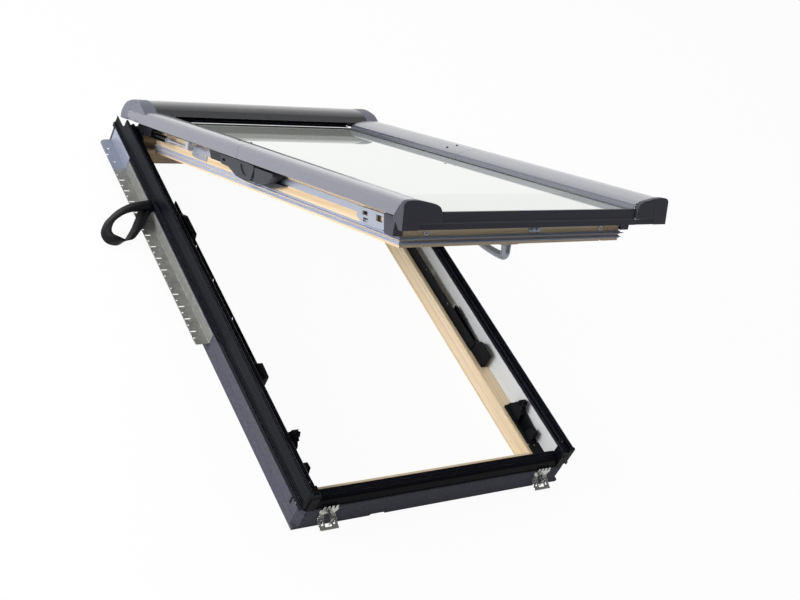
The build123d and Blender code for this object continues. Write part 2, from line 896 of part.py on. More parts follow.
# Side covers: skirt, curved top and stepped inner edge
crest = [
    (cover_inner + 4.5, 21),
    (cover_inner + 18, 26),
    (cover_inner + 40, 31),
    (cover_inner + 62, 34.6),
    (cover_inner + 82, 35.6),
    (cover_inner + 97, 32.6),
    (cover_half, cover_skirt),
]
crest_under = [
    (cover_inner + 6.5, 19.4),
    (cover_inner + 19, 24),
    (cover_inner + 41, 29),
    (cover_inner + 62, 32.6),
    (cover_inner + 81, 33.5),
    (cover_inner + 95, 30.8),
    (cover_half - sheet, cover_skirt - 1.2),
]
skirt_start = 20.0
cover_screw_s = 604.0
cover_screw_x = (312.0, 346.0)
cover_start = 137.0
with BuildPart() as upper_cover_right:
    with BuildSketch(sash_cut(cover_start)):
        with BuildLine():
            Spline(*crest)
            Polyline(
                (cover_half, cover_skirt),
                (cover_half, 0),
                (cover_half - sheet, 0),
                (cover_half - sheet, cover_skirt - 1.2),
            )
            Spline(*crest_under[::-1])
            Polyline(
                crest_under[0],
                (cover_inner + 6.5, 13),
                (cover_inner + 2, 13),
                (cover_inner + 2, 7),
                (cover_inner, 7),
                (cover_inner, 15),
                (cover_inner + 4.5, 15),
                crest[0],
            )
        make_face()
    extrude(amount=cover_split - 0.8 - cover_start)
    with BuildSketch(sash_side(cover_half)):
        Polygon(
            (skirt_start + 9, cover_skirt),
            (skirt_start, 6),
            (skirt_start, 0),
            (cover_start, 0),
            (cover_start, cover_skirt),
            align=None,
        )
    extrude(amount=sheet)
    with BuildSketch(sash_flat(20)):
        for screw_x in cover_screw_x:
            with Locations((screw_x, -cover_screw_s)):
                Circle(3.2)
    extrude(amount=20, mode=Mode.SUBTRACT)
upper_cover_right.part.label = "upper_cover_right"
with BuildPart() as upper_cover_left:
    mirror(upper_cover_right.part, about=Plane.YZ)
upper_cover_left.part.label = "upper_cover_left"

cap_start = 1396.0
with BuildPart() as lower_cover_right:
    with BuildSketch(sash_cut(cover_split + 0.8)):
        with BuildLine():
            Spline(*crest)
            Polyline(
                (cover_half, cover_skirt),
                (cover_half, 0),
                (cover_half - sheet, 0),
                (cover_half - sheet, cover_skirt - 1.2),
            )
            Spline(*crest_under[::-1])
            Polyline(
                crest_under[0],
                (cover_inner + 6.5, 13),
                (cover_inner + 2, 13),
                (cover_inner + 2, 7),
                (cover_inner, 7),
                (cover_inner, 15),
                (cover_inner + 4.5, 15),
                crest[0],
            )
        make_face()
    extrude(amount=cap_start - running_gap - cover_split - 0.8)
    with BuildSketch(sash_side(cover_half + 1)):
        Polygon((1371, -1), (1400, -1), (1400, cover_skirt + 2), (1393, cover_skirt + 2), align=None)
    extrude(amount=3.4, mode=Mode.SUBTRACT)
lower_cover_right.part.label = "lower_cover_right"
with BuildPart() as lower_cover_left:
    mirror(lower_cover_right.part, about=Plane.YZ)
lower_cover_left.part.label = "lower_cover_left"

# Dark screws on top of the upper covers, near the split
with BuildPart() as cover_screws:
    for screw_x, top_n in zip(cover_screw_x, (29.8, 35.6)):
        with BuildSketch(sash_flat(top_n - 5)):
            with Locations((screw_x, -cover_screw_s)):
                Circle(3.2)
        extrude(amount=5)
    mirror(about=Plane.YZ)
cover_screws.part.label = "cover_screws"

# Rounded hood over the head of the window
hood_half = 350.0
hood_curve = [(-24, -2), (-22, 14), (-10, 31), (12, 48), (40, 58), (68, 59), (94, 52.5), (115, 42)]
hood_under = [
    (-21.5, -2),
    (-19.5, 13.2),
    (-8, 29.2),
    (13, 45.7),
    (40.5, 55.4),
    (67.5, 56.4),
    (93, 50.1),
    (112.6, 40.4),
]
with BuildPart() as hood:
    with BuildSketch(sash_side(hood_half)):
        with BuildLine():
            Spline(*hood_curve)
            Polyline((115, 42), (136, 27), (131, 24.6), (129.8, 26.8), (132, 27.6), (112.6, 40.4))
            Spline(*hood_under[::-1])
            Line((-21.5, -2), (-24, -2))
        make_face()
    extrude(amount=2 * hood_half)
hood.part.label = "hood"

# End caps of the hood, each with the joint line and a small notch
cap_gap = 0.3
with BuildPart() as hood_cap_right:
    with BuildSketch(sash_side(cover_half)):
        with BuildLine():
            Spline(*[(s - 0.4, n + 0.8) for s, n in hood_curve])
            Polyline(
                (114.6, 42.8),
                (135, 28.4),
                (135, cover_skirt + cap_gap),
                (skirt_start + 8.6, cover_skirt + cap_gap),
                (skirt_start - cap_gap, 6),
                (skirt_start - cap_gap, -1.2),
                (-24.4, -1.2),
            )
        make_face()
    extrude(amount=cover_half - hood_half - cap_gap)
    with BuildSketch(sash_side(cover_half - 3)):
        Polygon(
            (-19, -2),
            (-18, 14),
            (-6, 28),
            (14, 44),
            (40, 54),
            (67, 55),
            (92, 48.5),
            (110, 39),
            (128, cover_skirt + 3),
            (skirt_start + 8, cover_skirt + 3),
            (skirt_start - 3, 7),
            (skirt_start - 3, -2),
            align=None,
        )
    extrude(amount=60, mode=Mode.SUBTRACT)
    with BuildSketch(sash_side(cover_half + 1)):
        Polygon(
            *bent([(skirt_start + 8, cover_skirt - 2), (34, 38), (44, 48), (50, 62)], 1.6),
            align=None,
        )
        with Locations((50, 44)):
            Rectangle(8, 2.2)
    extrude(amount=2.4, mode=Mode.SUBTRACT)
    with BuildSketch(sash_cut(-30)):
        Polygon(
            (cover_half - 9, 62),
            (cover_half + 2, 62),
            (cover_half + 2, 40),
            (cover_half - 0.5, 50),
            align=None,
        )
    extrude(amount=180, mode=Mode.SUBTRACT)
hood_cap_right.part.label = "hood_cap_right"
with BuildPart() as hood_cap_left:
    mirror(hood_cap_right.part, about=Plane.YZ)
hood_cap_left.part.label = "hood_cap_left"

# Trim that closes the space between the hood's lip and the glass
with BuildPart() as hood_trim:
    with BuildSketch(sash_side(cover_inner - 1)):
        Polygon(
            (106, 9.5),
            (122, 9.5),
            (122, 12),
            (112, 12),
            (112, 15),
            (120, 15),
            (120, 17.2),
            (112, 17.2),
            (112, 40),
            (110, 41),
            (106, 42),
            align=None,
        )
    extrude(amount=2 * (cover_inner - 1))
hood_trim.part.label = "hood_trim"

# Pivot guides on the arms: a moulded ear and a curved rib round the virtual axis
pivot_s = cover_split + 2
with BuildPart() as pivot_guides:
    with BuildSketch(sash_side(arm_in + arm_thick + 5.4)):
        Polygon(
            (560, -7.4),
            (566, -31),
            (606, -33),
            (626, -40),
            (650, -49),
            (706, -53),
            (722, -49),
            (737, -19),
            (736, -9),
            (690, -7.4),
            align=None,
        )
        with BuildLine():
            ThreePointArc((668, -14), (676, -30), (700, -40))
            ThreePointArc((700, -40), (712, -26), (713, -14))
            Line((713, -14), (668, -14))
        make_face(mode=Mode.SUBTRACT)
        with Locations((580, -20)):
            Rectangle(16, 7, mode=Mode.SUBTRACT)
    extrude(amount=5.1)
    with BuildSketch(sash_side(arm_in + arm_thick + 2)):
        with Locations((692, -27)):
            Rectangle(56, 30)
    extrude(amount=1.7)
    with BuildSketch(sash_side(arm_in + arm_thick + 0.3)):
        with BuildLine():
            ThreePointArc(
                (pivot_s - 36, pivot_height - 64.3),
                (pivot_s, pivot_height - 73.7),
                (pivot_s + 36, pivot_height - 64.3),
            )
            Line((pivot_s + 36, pivot_height - 64.3), (pivot_s + 32.5, pivot_height - 58.2))
            ThreePointArc(
                (pivot_s + 32.5, pivot_height - 58.2),
                (pivot_s, pivot_height - 66.7),
                (pivot_s - 32.5, pivot_height - 58.2),
            )
            Line((pivot_s - 32.5, pivot_height - 58.2), (pivot_s - 36, pivot_height - 64.3))
        make_face()
    extrude(amount=11.3)
    mirror(about=Plane.YZ)
pivot_guides.part.label = "pivot_guides"

# Pine sash
glass_rest = -24.0
with BuildPart() as sash_stile_right:
    with BuildSketch(sash_cut(sash_top)):
        Polygon(
            (sash_half, -sash_depth),
            (sash_half, -10),
            (sash_half - 8, -8),
            (sash_half - 14, -8),
            (sash_half - 14, glass_rest),
            (sash_half - stile_width + 4, glass_rest),
            (sash_half - stile_width, glass_rest - 4),
            (sash_half - stile_width, -sash_depth + 6),
            (sash_half - stile_width + 6, -sash_depth),
            align=None,
        )
    extrude(amount=sash_bottom - sash_top)
sash_stile_right.part.label = "sash_stile_right"
with BuildPart() as sash_stile_left:
    mirror(sash_stile_right.part, about=Plane.YZ)
sash_stile_left.part.label = "sash_stile_left"

rail_half = sash_half - stile_width
with BuildPart() as sash_rail_bottom:
    with BuildSketch(sash_side(rail_half)):
        Polygon(
            (sash_bottom, -sash_depth),
            (sash_bottom, glass_rest),
            (sash_bottom - stile_width + 4, glass_rest),
            (sash_bottom - stile_width, glass_rest - 4),
            (sash_bottom - stile_width, -sash_depth + 6),
            (sash_bottom - stile_width + 6, -sash_depth),
            align=None,
        )
    extrude(amount=2 * rail_half)
sash_rail_bottom.part.label = "sash_rail_bottom"
with BuildPart() as sash_rail_top:
    with BuildSketch(sash_side(rail_half)):
        Polygon(
            (sash_top, -sash_depth),
            (sash_top, -8),
            (sash_top + 14, -8),
            (sash_top + 14, glass_rest),
            (sash_top + stile_width - 4, glass_rest),
            (sash_top + stile_width, glass_rest - 4),
            (sash_top + stile_width, -sash_depth + 6),
            (sash_top + stile_width - 6, -sash_depth),
            align=None,
        )
    extrude(amount=2 * rail_half)
sash_rail_top.part.label = "sash_rail_top"

# Glass unit: outer pane running past the sash at the bottom, spacer and inner pane
pane = 4.0
glass_top_face = 5.0
glass_head = sash_top + 16
glass_foot = 1398.0
inner_foot = 1308.0
outer_pane_half = sash_half - 16
with BuildPart() as glass_outer:
    with BuildSketch(sash_flat(glass_top_face - pane)):
        with Locations((0, -(glass_head + glass_foot) / 2)):
            Rectangle(2 * (outer_pane_half + 8), glass_foot - glass_head)
    extrude(amount=pane)
glass_outer.part.label = "glass_outer"
with BuildPart() as glass_spacer:
    with BuildSketch(sash_flat(glass_rest + 0.3 + pane)):
        with Locations((0, -(glass_head + inner_foot) / 2)):
            Rectangle(2 * outer_pane_half, inner_foot - glass_head)
            Rectangle(2 * (outer_pane_half - 13), inner_foot - glass_head - 26, mode=Mode.SUBTRACT)
    extrude(amount=glass_top_face - pane - (glass_rest + 0.3 + pane))
glass_spacer.part.label = "glass_spacer"
with BuildPart() as glass_inner:
    with BuildSketch(sash_flat(glass_rest + 0.3)):
        with Locations((0, -(glass_head + inner_foot) / 2)):
            Rectangle(2 * outer_pane_half, inner_foot - glass_head)
    extrude(amount=pane)
glass_inner.part.label = "glass_inner"

# Bottom cover: two stepped faces, a return over the glass edge and one under it
with BuildPart() as bottom_cover:
    with BuildSketch(sash_side(cover_inner + 2)):
        Polygon(
            (1396.2, 9.4),
            (1396.2, 11),
            (1402.6, 11),
            (1402.6, -12),
            (1406, -13.6),
            (1406, -27),
            (1385, -27),
            (1385, -25.4),
            (1404.4, -25.4),
            (1404.4, -14.6),
            (1399.2, -13),
            (1385, -13),
            (1385, -11.4),
            (1400.4, -11.4),
            (1400.4, 9.4),
            align=None,
        )
    extrude(amount=2 * (cover_inner + 2))
    with BuildSketch(sash_side(348)):
        Polygon((1403.9, -26.6), (1403.9, -14.6), (1406, -13.8), (1406, -26.6), align=None)
    extrude(amount=696)
bottom_cover.part.label = "bottom_cover"

# Moulded corner caps with an arched top, a slanted side and a foot to the sash
cap_outline = [
    (cover_half + 0.2, -27),
    (cover_half + 1, 28),
    (cover_half - 4, 35),
    (cover_half - 18, 38),
    (cover_half - 42, 37),
    (cover_half - 66, 32.5),
    (cover_half - 86, 27.5),
    (cover_half - 96, 20),
    (cover_half - 100, 10),
    (cover_half - 101, -12),
    (cover_half - 101, -27),
]
cap_end = 1408.0
with BuildPart() as corner_cap_left:
    with BuildSketch(sash_cut(cap_start)):
        with BuildLine():
            Polyline(*cap_outline[:2])
            Spline(*cap_outline[1:])
            Line(cap_outline[-1], cap_outline[0])
        make_face()
        mirror(about=Plane.YZ, mode=Mode.REPLACE)
    extrude(amount=cap_end - cap_start)
    with BuildSketch(sash_cut(cap_start - 1)):
        Polygon(
            (-(cover_half - 2.4), -24.6),
            (-(cover_half - 2), 25),
            (-(cover_half - 19), 34.6),
            (-(cover_half - 42), 33.6),
            (-(cover_half - 66), 29),
            (-(cover_half - 85), 24),
            (-(cover_half - 93), 18),
            (-(cover_half - 97), 8),
            (-(cover_half - 98), -24.6),
            align=None,
        )
    extrude(amount=7, mode=Mode.SUBTRACT)
    with BuildSketch(sash_side(-cover_half + 2.4)):
        Polygon(
            (1371.6, -0.4),
            (1394, cover_skirt + 1.4),
            (1398, cover_skirt + 1),
            (1398, -27),
            (1396, -27),
            align=None,
        )
    extrude(amount=2.6)
    with BuildSketch(sash_side(-349)):
        Polygon((1310, -14), (1310, -22), (1390, -24.6), (1404, -24.6), (1404, -14), align=None)
    extrude(amount=3)
    with BuildSketch(sash_side(-sash_half - 0.3)):
        Polygon((1282, -14), (1290, -58), (1322, -58), (1328, -14), align=None)
    extrude(amount=25.7)
    with BuildSketch(sash_side(-outer_pane_half - 9)):
        Polygon((1385, -28), (1385, 6), (1400, 6), (1400, -28), align=None)
    extrude(amount=-40, mode=Mode.SUBTRACT)
    with BuildSketch(sash_side(-348.4)):
        Polygon(
            (1384, -10.8),
            (1384, -28),
            (cap_end + 1, -28),
            (cap_end + 1, -13.2),
            (1402.9, -13.2),
            (1402.9, -10.8),
            align=None,
        )
    extrude(amount=-80, mode=Mode.SUBTRACT)
corner_cap_left.part.label = "corner_cap_left"
with BuildPart() as corner_cap_right:
    mirror(corner_cap_left.part, about=Plane.YZ)
    with BuildSketch(sash_cut(cap_end - 2.5)):
        Polygon(
            (cover_half - 44, -28),
            (cover_half - 47, 16),
            (cover_half - 54, 40),
            (cover_half - 50.6, 40),
            (cover_half - 43.6, 16),
            (cover_half - 40.6, -28),
            align=None,
        )
    extrude(amount=4, mode=Mode.SUBTRACT)
corner_cap_right.part.label = "corner_cap_right"

# Two gaskets all round the sash, with thin fins past its sides and foot
fin_start = 642.0
with BuildPart() as gasket_upper:
    with BuildSketch(sash_flat(-69)):
        with Locations((0, -(sash_top + sash_bottom) / 2)):
            Rectangle(2 * sash_half + 6, sash_bottom - sash_top + 6)
            Rectangle(2 * sash_half + 0.2, sash_bottom - sash_top + 0.2, mode=Mode.SUBTRACT)
    extrude(amount=8)
    with BuildSketch(sash_flat(-66)):
        with Locations((0, -(fin_start + sash_bottom + 9) / 2)):
            Rectangle(2 * sash_half + 22, sash_bottom + 9 - fin_start)
        with Locations((0, -(fin_start + sash_bottom) / 2 + 5)):
            Rectangle(2 * sash_half + 0.2, sash_bottom - fin_start + 10.2, mode=Mode.SUBTRACT)
    extrude(amount=1.2)
gasket_upper.part.label = "gasket_upper"
with BuildPart() as gasket_lower:
    with BuildSketch(sash_flat(-79)):
        with Locations((0, -(sash_top + sash_bottom) / 2)):
            Rectangle(2 * sash_half + 5, sash_bottom - sash_top + 5)
            Rectangle(2 * sash_half + 0.2, sash_bottom - sash_top + 0.2, mode=Mode.SUBTRACT)
    extrude(amount=7)
    with BuildSketch(sash_flat(-76)):
        with Locations((0, -(fin_start + sash_bottom + 6) / 2)):
            Rectangle(2 * sash_half + 14, sash_bottom + 6 - fin_start)
        with Locations((0, -(fin_start + sash_bottom) / 2 + 5)):
            Rectangle(2 * sash_half + 0.2, sash_bottom - fin_start + 10.2, mode=Mode.SUBTRACT)
    extrude(amount=1.2)
gasket_lower.part.label = "gasket_lower"

# Silver lock rails along the sash sides, each with its upper latch
with BuildPart() as lock_rails:
    with BuildSketch(sash_side(sash_half + 3.1)):
        Polygon((300, -24), (300, -40), (1158, -40), (1158, -24), align=None)
    extrude(amount=3)
    with BuildSketch(sash_side(sash_half + 3.6)):
        Polygon(
            (318, -30),
            (318, -52),
            (340, -56),
            (400, -56),
            (404, -40),
            (438, -38),
            (438, -26),
            (350, -22),
            align=None,
        )
        with Locations((352, -46)):
            Circle(3, mode=Mode.SUBTRACT)
        with Locations((388, -40)):
            Rectangle(16, 8, mode=Mode.SUBTRACT)
    extrude(amount=3.5)
    mirror(about=Plane.YZ)
lock_rails.part.label = "lock_rails"

# Lock cases near the lower corners, with openings
with BuildPart() as lock_cases:
    with BuildSketch(sash_side(sash_half + 14)):
        Polygon((1160, -22), (1160, -46), (1180, -57), (1266, -57), (1276, -50), (1276, -20), align=None)
        with Locations((1192, -33)):
            Rectangle(22, 9, mode=Mode.SUBTRACT)
        with Locations((1196, -48)):
            Rectangle(18, 9, mode=Mode.SUBTRACT)
        with Locations((1250, -34)):
            Rectangle(26, 14, mode=Mode.SUBTRACT)
    extrude(amount=4)
    with BuildSketch(sash_side(sash_half + 10)):
        Polygon((1164, -24), (1164, -44), (1182, -54), (1264, -54), (1272, -48), (1272, -22), align=None)
        with Locations((1215, -38)):
            Rectangle(84, 20, mode=Mode.SUBTRACT)
    extrude(amount=9.9)
    mirror(about=Plane.YZ)
lock_cases.part.label = "lock_cases"

# Pivot shoes on the sash: a grooved ring segment, a moulded block and a foot
with BuildPart() as pivot_shoes:
    with BuildSketch(sash_side(361)):
        with BuildLine():
            ThreePointArc(
                (pivot_s - 70, pivot_height - 46.4),
                (pivot_s - 33, pivot_height - 77.2),
                (pivot_s + 4, pivot_height - 83.9),
            )
            Line((pivot_s + 4, pivot_height - 83.9), (pivot_s + 3, pivot_height - 60))
            ThreePointArc(
                (pivot_s + 3, pivot_height - 60),
                (pivot_s - 24, pivot_height - 55),
                (pivot_s - 50, pivot_height - 33.3),
            )
            Line((pivot_s - 50, pivot_height - 33.3), (pivot_s - 70, pivot_height - 46.4))
        make_face()
    extrude(amount=20)
    with BuildSketch(sash_side(362)):
        with Locations((pivot_s, pivot_height)):
            Circle(74)
            Circle(66.4, mode=Mode.SUBTRACT)
    extrude(amount=7, mode=Mode.SUBTRACT)
    with BuildSketch(sash_side(372)):
        Polygon(
            (741, -12),
            (741, -45),
            (752, -50),
            (776, -46),
            (806, -36),
            (830, -20),
            (830, -12),
            align=None,
        )
    extrude(amount=31)
    with BuildSketch(sash_side(341)):
        Polygon((642, -41), (642, -58), (770, -58), (830, -42), (830, -41), align=None)
    extrude(amount=14.7)
    mirror(about=Plane.YZ)
pivot_shoes.part.label = "pivot_shoes"

# Eyelet screws in the face of the bottom rail
with BuildPart() as eyelet_screws:
    with BuildSketch(sash_cut(sash_bottom)):
        for x in (-260, 260):
            with Locations((x, -53)):
                Circle(6)
                Circle(2.6, mode=Mode.SUBTRACT)
    extrude(amount=5)
    with BuildSketch(sash_cut(sash_bottom)):
        for x in (-260, 260):
            with Locations((x, -53)):
                Circle(2.6)
    extrude(amount=1.5)
eyelet_screws.part.label = "eyelet_screws"

# Centre latch on the same face
with BuildPart() as centre_latch:
    with BuildSketch(sash_cut(sash_bottom)):
        with Locations((52, -52)):
            Rectangle(34, 12)
    extrude(amount=3)
    with BuildSketch(sash_cut(sash_bottom + 3)):
        with Locations((44, -52)):
            Circle(5)
        with Locations((60, -51)):
            Rectangle(12, 7)
    extrude(amount=7)
centre_latch.part.label = "centre_latch"

# Handle rose and handle on the room side of the bottom rail
rose_s = sash_bottom - 31
with BuildPart() as handle_rose:
    with BuildSketch(sash_flat(-sash_depth - 6)):
        with Locations((0, -rose_s)):
            SlotOverall(64, 27)
    extrude(amount=6)
    with BuildSketch(sash_flat(-sash_depth - 8)):
        with Locations((0, -rose_s)):
            Circle(11.5)
    extrude(amount=2)
handle_rose.part.label = "handle_rose"
with BuildPart() as handle:
    with BuildSketch(sash_flat(-sash_depth - 8.3)):
        with Locations((0, -rose_s)):
            Ellipse(10.5, 11)
    with BuildSketch(sash_flat(-sash_depth - 22)):
        with Locations((0, -rose_s)):
            Ellipse(9, 10)
    with BuildSketch(sash_flat(-sash_depth - 43)):
        with Locations((0, -rose_s)):
            Ellipse(8, 10)
    loft()
    with BuildSketch(sash_side(7.5)):
        with BuildLine():
            Spline(
                (rose_s + 9, -sash_depth - 35),
                (rose_s + 6, -sash_depth - 48),
                (rose_s - 30, -sash_depth - 44),
                (rose_s - 75, -sash_depth - 36),
                (rose_s - 112, -sash_depth - 30),
            )
            Spline(
                (rose_s - 112, -sash_depth - 30),
                (rose_s - 120, -sash_depth - 23),
                (rose_s - 110, -sash_depth - 17),
                (rose_s - 70, -sash_depth - 21),
                (rose_s - 8, -sash_depth - 31),
            )
            Line((rose_s - 8, -sash_depth - 31), (rose_s + 9, -sash_depth - 35))
        make_face()
    extrude(amount=15)
handle.part.label = "handle"

pieces = [
    frame_stile_left,
    frame_stile_right,
    frame_rail_bottom,
    frame_rail_top,
    liner_left,
    liner_right,
    gutter_left,
    gutter_right,
    gutter_bottom,
    gutter_top,
    foam_left,
    foam_right,
    foam_bottom,
    foam_top,
    corner_cover_left,
    corner_cover_right,
    mounting_plates,
    end_bracket_left,
    end_bracket_right,
    flashing_clips,
    frame_screws,
    stop_plates,
    keepers,
    stay_bars,
    stay_blocks,
    guide_blocks,
    hinge_plates,
    strap_loop,
    lift_arms,
    struts,
    upper_cover_left,
    upper_cover_right,
    cover_screws,
    hood,
    hood_cap_left,
    hood_cap_right,
    hood_trim,
    pivot_guides,
    sash_stile_left,
    sash_stile_right,
    sash_rail_bottom,
    sash_rail_top,
    glass_outer,
    glass_spacer,
    glass_inner,
    lower_cover_left,
    lower_cover_right,
    bottom_cover,
    corner_cap_left,
    corner_cap_right,
    gasket_upper,
    gasket_lower,
    lock_rails,
    lock_cases,
    pivot_shoes,
    eyelet_screws,
    centre_latch,
    handle_rose,
    handle,
]
for piece in pieces:
    export_step(piece.part, "parts/" + piece.part.label + ".step")
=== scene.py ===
import math

import bmesh
import bpy
from mathutils import Matrix, Vector


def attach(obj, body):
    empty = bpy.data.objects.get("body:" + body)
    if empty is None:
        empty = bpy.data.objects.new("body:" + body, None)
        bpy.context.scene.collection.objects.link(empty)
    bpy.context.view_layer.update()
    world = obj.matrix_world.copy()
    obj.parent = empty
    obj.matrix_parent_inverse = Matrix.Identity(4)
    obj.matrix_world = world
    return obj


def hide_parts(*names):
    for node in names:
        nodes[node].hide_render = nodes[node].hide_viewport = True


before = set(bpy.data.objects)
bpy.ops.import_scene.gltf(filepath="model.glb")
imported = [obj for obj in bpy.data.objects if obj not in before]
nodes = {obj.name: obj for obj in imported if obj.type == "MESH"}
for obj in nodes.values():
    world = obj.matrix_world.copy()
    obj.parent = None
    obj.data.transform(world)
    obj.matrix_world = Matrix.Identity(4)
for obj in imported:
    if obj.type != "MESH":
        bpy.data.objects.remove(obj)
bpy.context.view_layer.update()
# The open sash, as in part.py: its slope, the hinge in the frame (Y, Z), and the hinge measured on the
# sash (down its face, out of it). downSash is the direction down the sash's face.
openAngle = math.radians(31.2)
hinge = (1.265, 0.118)
hingeOnSash = (0.0614, -0.0203)
downSash = (0, -math.cos(openAngle), math.sin(openAngle))
hingeReach = hinge[0] * downSash[1] + hinge[1] * downSash[2]
print("stage: frame loaded,", len(nodes), "nodes")


def linear(hexText):
    text = hexText.lstrip("#")
    channels = [int(text[i : i + 2], 16) / 255 for i in (0, 2, 4)]
    return tuple(c / 12.92 if c <= 0.04045 else ((c + 0.055) / 1.055) ** 2.4 for c in channels) + (1.0,)


def addNode(tree, kind, settings=None, links=None):
    node = tree.nodes.new(kind)
    for name, value in (settings or {}).items():
        if name == "stops":  # of a colour ramp
            elements = node.color_ramp.elements
            while len(elements) < len(value):
                elements.new(0.5)
            for element, (place, colour) in zip(elements, value):
                element.position = place
                element.color = linear(colour)
        elif isinstance(name, int) or name in node.inputs:
            node.inputs[name].default_value = value
        else:
            setattr(node, name, value)
    for socket, source in (links or {}).items():
        tree.links.new(source, node.inputs[socket])
    return node


def newSurface(name, settings):
    material = bpy.data.materials.new(name)
    material.use_nodes = True
    tree = material.node_tree
    tree.nodes.clear()
    shader = addNode(tree, "ShaderNodeBsdfPrincipled", settings)
    addNode(tree, "ShaderNodeOutputMaterial", links={"Surface": shader.outputs[0]})
    coords = addNode(tree, "ShaderNodeTexCoord")
    return material, tree, shader, coords.outputs["Object"]


def roundedEdge(tree, radius):
    # normals rounded over the sharp edges, and how near a point is to such an edge: by the cosine between
    # the rounded normal and the face's own, a face ends at 0.97 and an edge is full at 0.8
    rounded = addNode(tree, "ShaderNodeBevel", {"samples": 6, "Radius": radius})
    face = addNode(tree, "ShaderNodeNewGeometry")
    turned = addNode(
        tree,
        "ShaderNodeVectorMath",
        {"operation": "DOT_PRODUCT"},
        {0: rounded.outputs["Normal"], 1: face.outputs["True Normal"]},
    )
    edge = addNode(
        tree,
        "ShaderNodeMapRange",
        {"From Min": 0.97, "From Max": 0.8, "To Min": 0.0, "To Max": 1.0},
        {"Value": turned.outputs["Value"]},
    )
    return rounded.outputs["Normal"], edge.outputs["Result"]


def paintEdgeHighlight(tree, shader, look):
    # painted highlight: the colour is paler along the edges, standing for the light that rounded edges catch; gives
    # the rounded normal
    normal, edge = roundedEdge(tree, look["edge"])
    tone = addNode(
        tree,
        "ShaderNodeMix",
        {"data_type": "RGBA", 6: linear(look["colour"]), 7: linear(look["edgeHighlightColour"])},
        {0: edge},
    )
    tree.links.new(tone.outputs[2], shader.inputs["Base Color"])
    return normal


def dress(material, *names):
    for name in names:
        mesh = nodes[name].data
        mesh.materials.clear()
        mesh.materials.append(material)


# Pine under a clear satin lacquer: pale early wood, narrow darker late-wood lines, fine fibres along the grain
pine = {
    "ringSpacing": 0.0075,
    "ringReach": 0.6,
    "fibreWidth": 0.0009,
    "fibreReach": 0.07,
    "ringScale": 0.55,
    "waviness": 0.35,
    "fibreShare": 0.18,
    "relief": 0.0003,
}


def lacqueredPine(name, turn, stops):
    material, tree, shader, coords = newSurface(
        name,
        {
            "Roughness": 0.45,
            "IOR": 1.45,
            "Specular IOR Level": 0.35,
            "Coat Weight": 0.12,
            "Coat Roughness": 0.3,
        },
    )
    turned = addNode(tree, "ShaderNodeMapping", {"Rotation": turn}, {"Vector": coords})
    rings = addNode(
        tree,
        "ShaderNodeMapping",
        {"Scale": (1 / pine["ringSpacing"], 1 / pine["ringReach"], 1 / pine["ringSpacing"])},
        {"Vector": turned.outputs["Vector"]},
    )
    fibres = addNode(
        tree,
        "ShaderNodeMapping",
        {"Scale": (1 / pine["fibreWidth"], 1 / pine["fibreReach"], 1 / pine["fibreWidth"])},
        {"Vector": turned.outputs["Vector"]},
    )
    ringNoise = addNode(
        tree,
        "ShaderNodeTexNoise",
        {"Scale": pine["ringScale"], "Detail": 3.0, "Roughness": 0.55, "Distortion": pine["waviness"]},
        {"Vector": rings.outputs["Vector"]},
    )
    fibreNoise = addNode(
        tree, "ShaderNodeTexNoise", {"Scale": 1.0, "Detail": 2.0}, {"Vector": fibres.outputs["Vector"]}
    )
    mixed = addNode(
        tree,
        "ShaderNodeMath",
        {"operation": "MULTIPLY_ADD", 1: pine["fibreShare"]},
        {0: fibreNoise.outputs["Fac"], 2: ringNoise.outputs["Fac"]},
    )
    colour = addNode(tree, "ShaderNodeValToRGB", {"stops": stops}, {"Fac": mixed.outputs[0]})
    tree.links.new(colour.outputs["Color"], shader.inputs["Base Color"])
    rough = addNode(
        tree, "ShaderNodeMapRange", {"To Min": 0.4, "To Max": 0.52}, {"Value": fibreNoise.outputs["Fac"]}
    )
    tree.links.new(rough.outputs["Result"], shader.inputs["Roughness"])
    bump = addNode(
        tree, "ShaderNodeBump", {"Strength": 0.2, "Distance": pine["relief"]}, {"Height": mixed.outputs[0]}
    )
    tree.links.new(bump.outputs["Normal"], shader.inputs["Normal"])
    return material


frameTones = [(0.36, "#C9AE88"), (0.5, "#D9C2A0"), (0.62, "#E2CEB0"), (0.8, "#E9D9C0")]
# painted shade: the sash's pine is the frame's pine drawn darker, for the shade the sash lies in
shadedSashTones = [(0.36, "#BFA27E"), (0.5, "#CFB592"), (0.62, "#DBC5A6"), (0.8, "#E4D2B8")]
pineUpSlope = lacqueredPine("lacqueredPineUpSlope", (0, 0, 0), frameTones)
pineAcross = lacqueredPine("lacqueredPineAcross", (0, 0, math.pi / 2), frameTones)
pineSash = lacqueredPine("lacqueredPineSash", (openAngle, 0, 0), shadedSashTones)
pineSashAcross = lacqueredPine("lacqueredPineSashAcross", (0, 0, math.pi / 2), shadedSashTones)
dress(pineUpSlope, "frame_stile_left", "frame_stile_right")
dress(pineAcross, "frame_rail_bottom", "frame_rail_top")
dress(pineSash, "sash_stile_left", "sash_stile_right")
dress(pineSashAcross, "sash_rail_bottom", "sash_rail_top")
print("stage: wood")

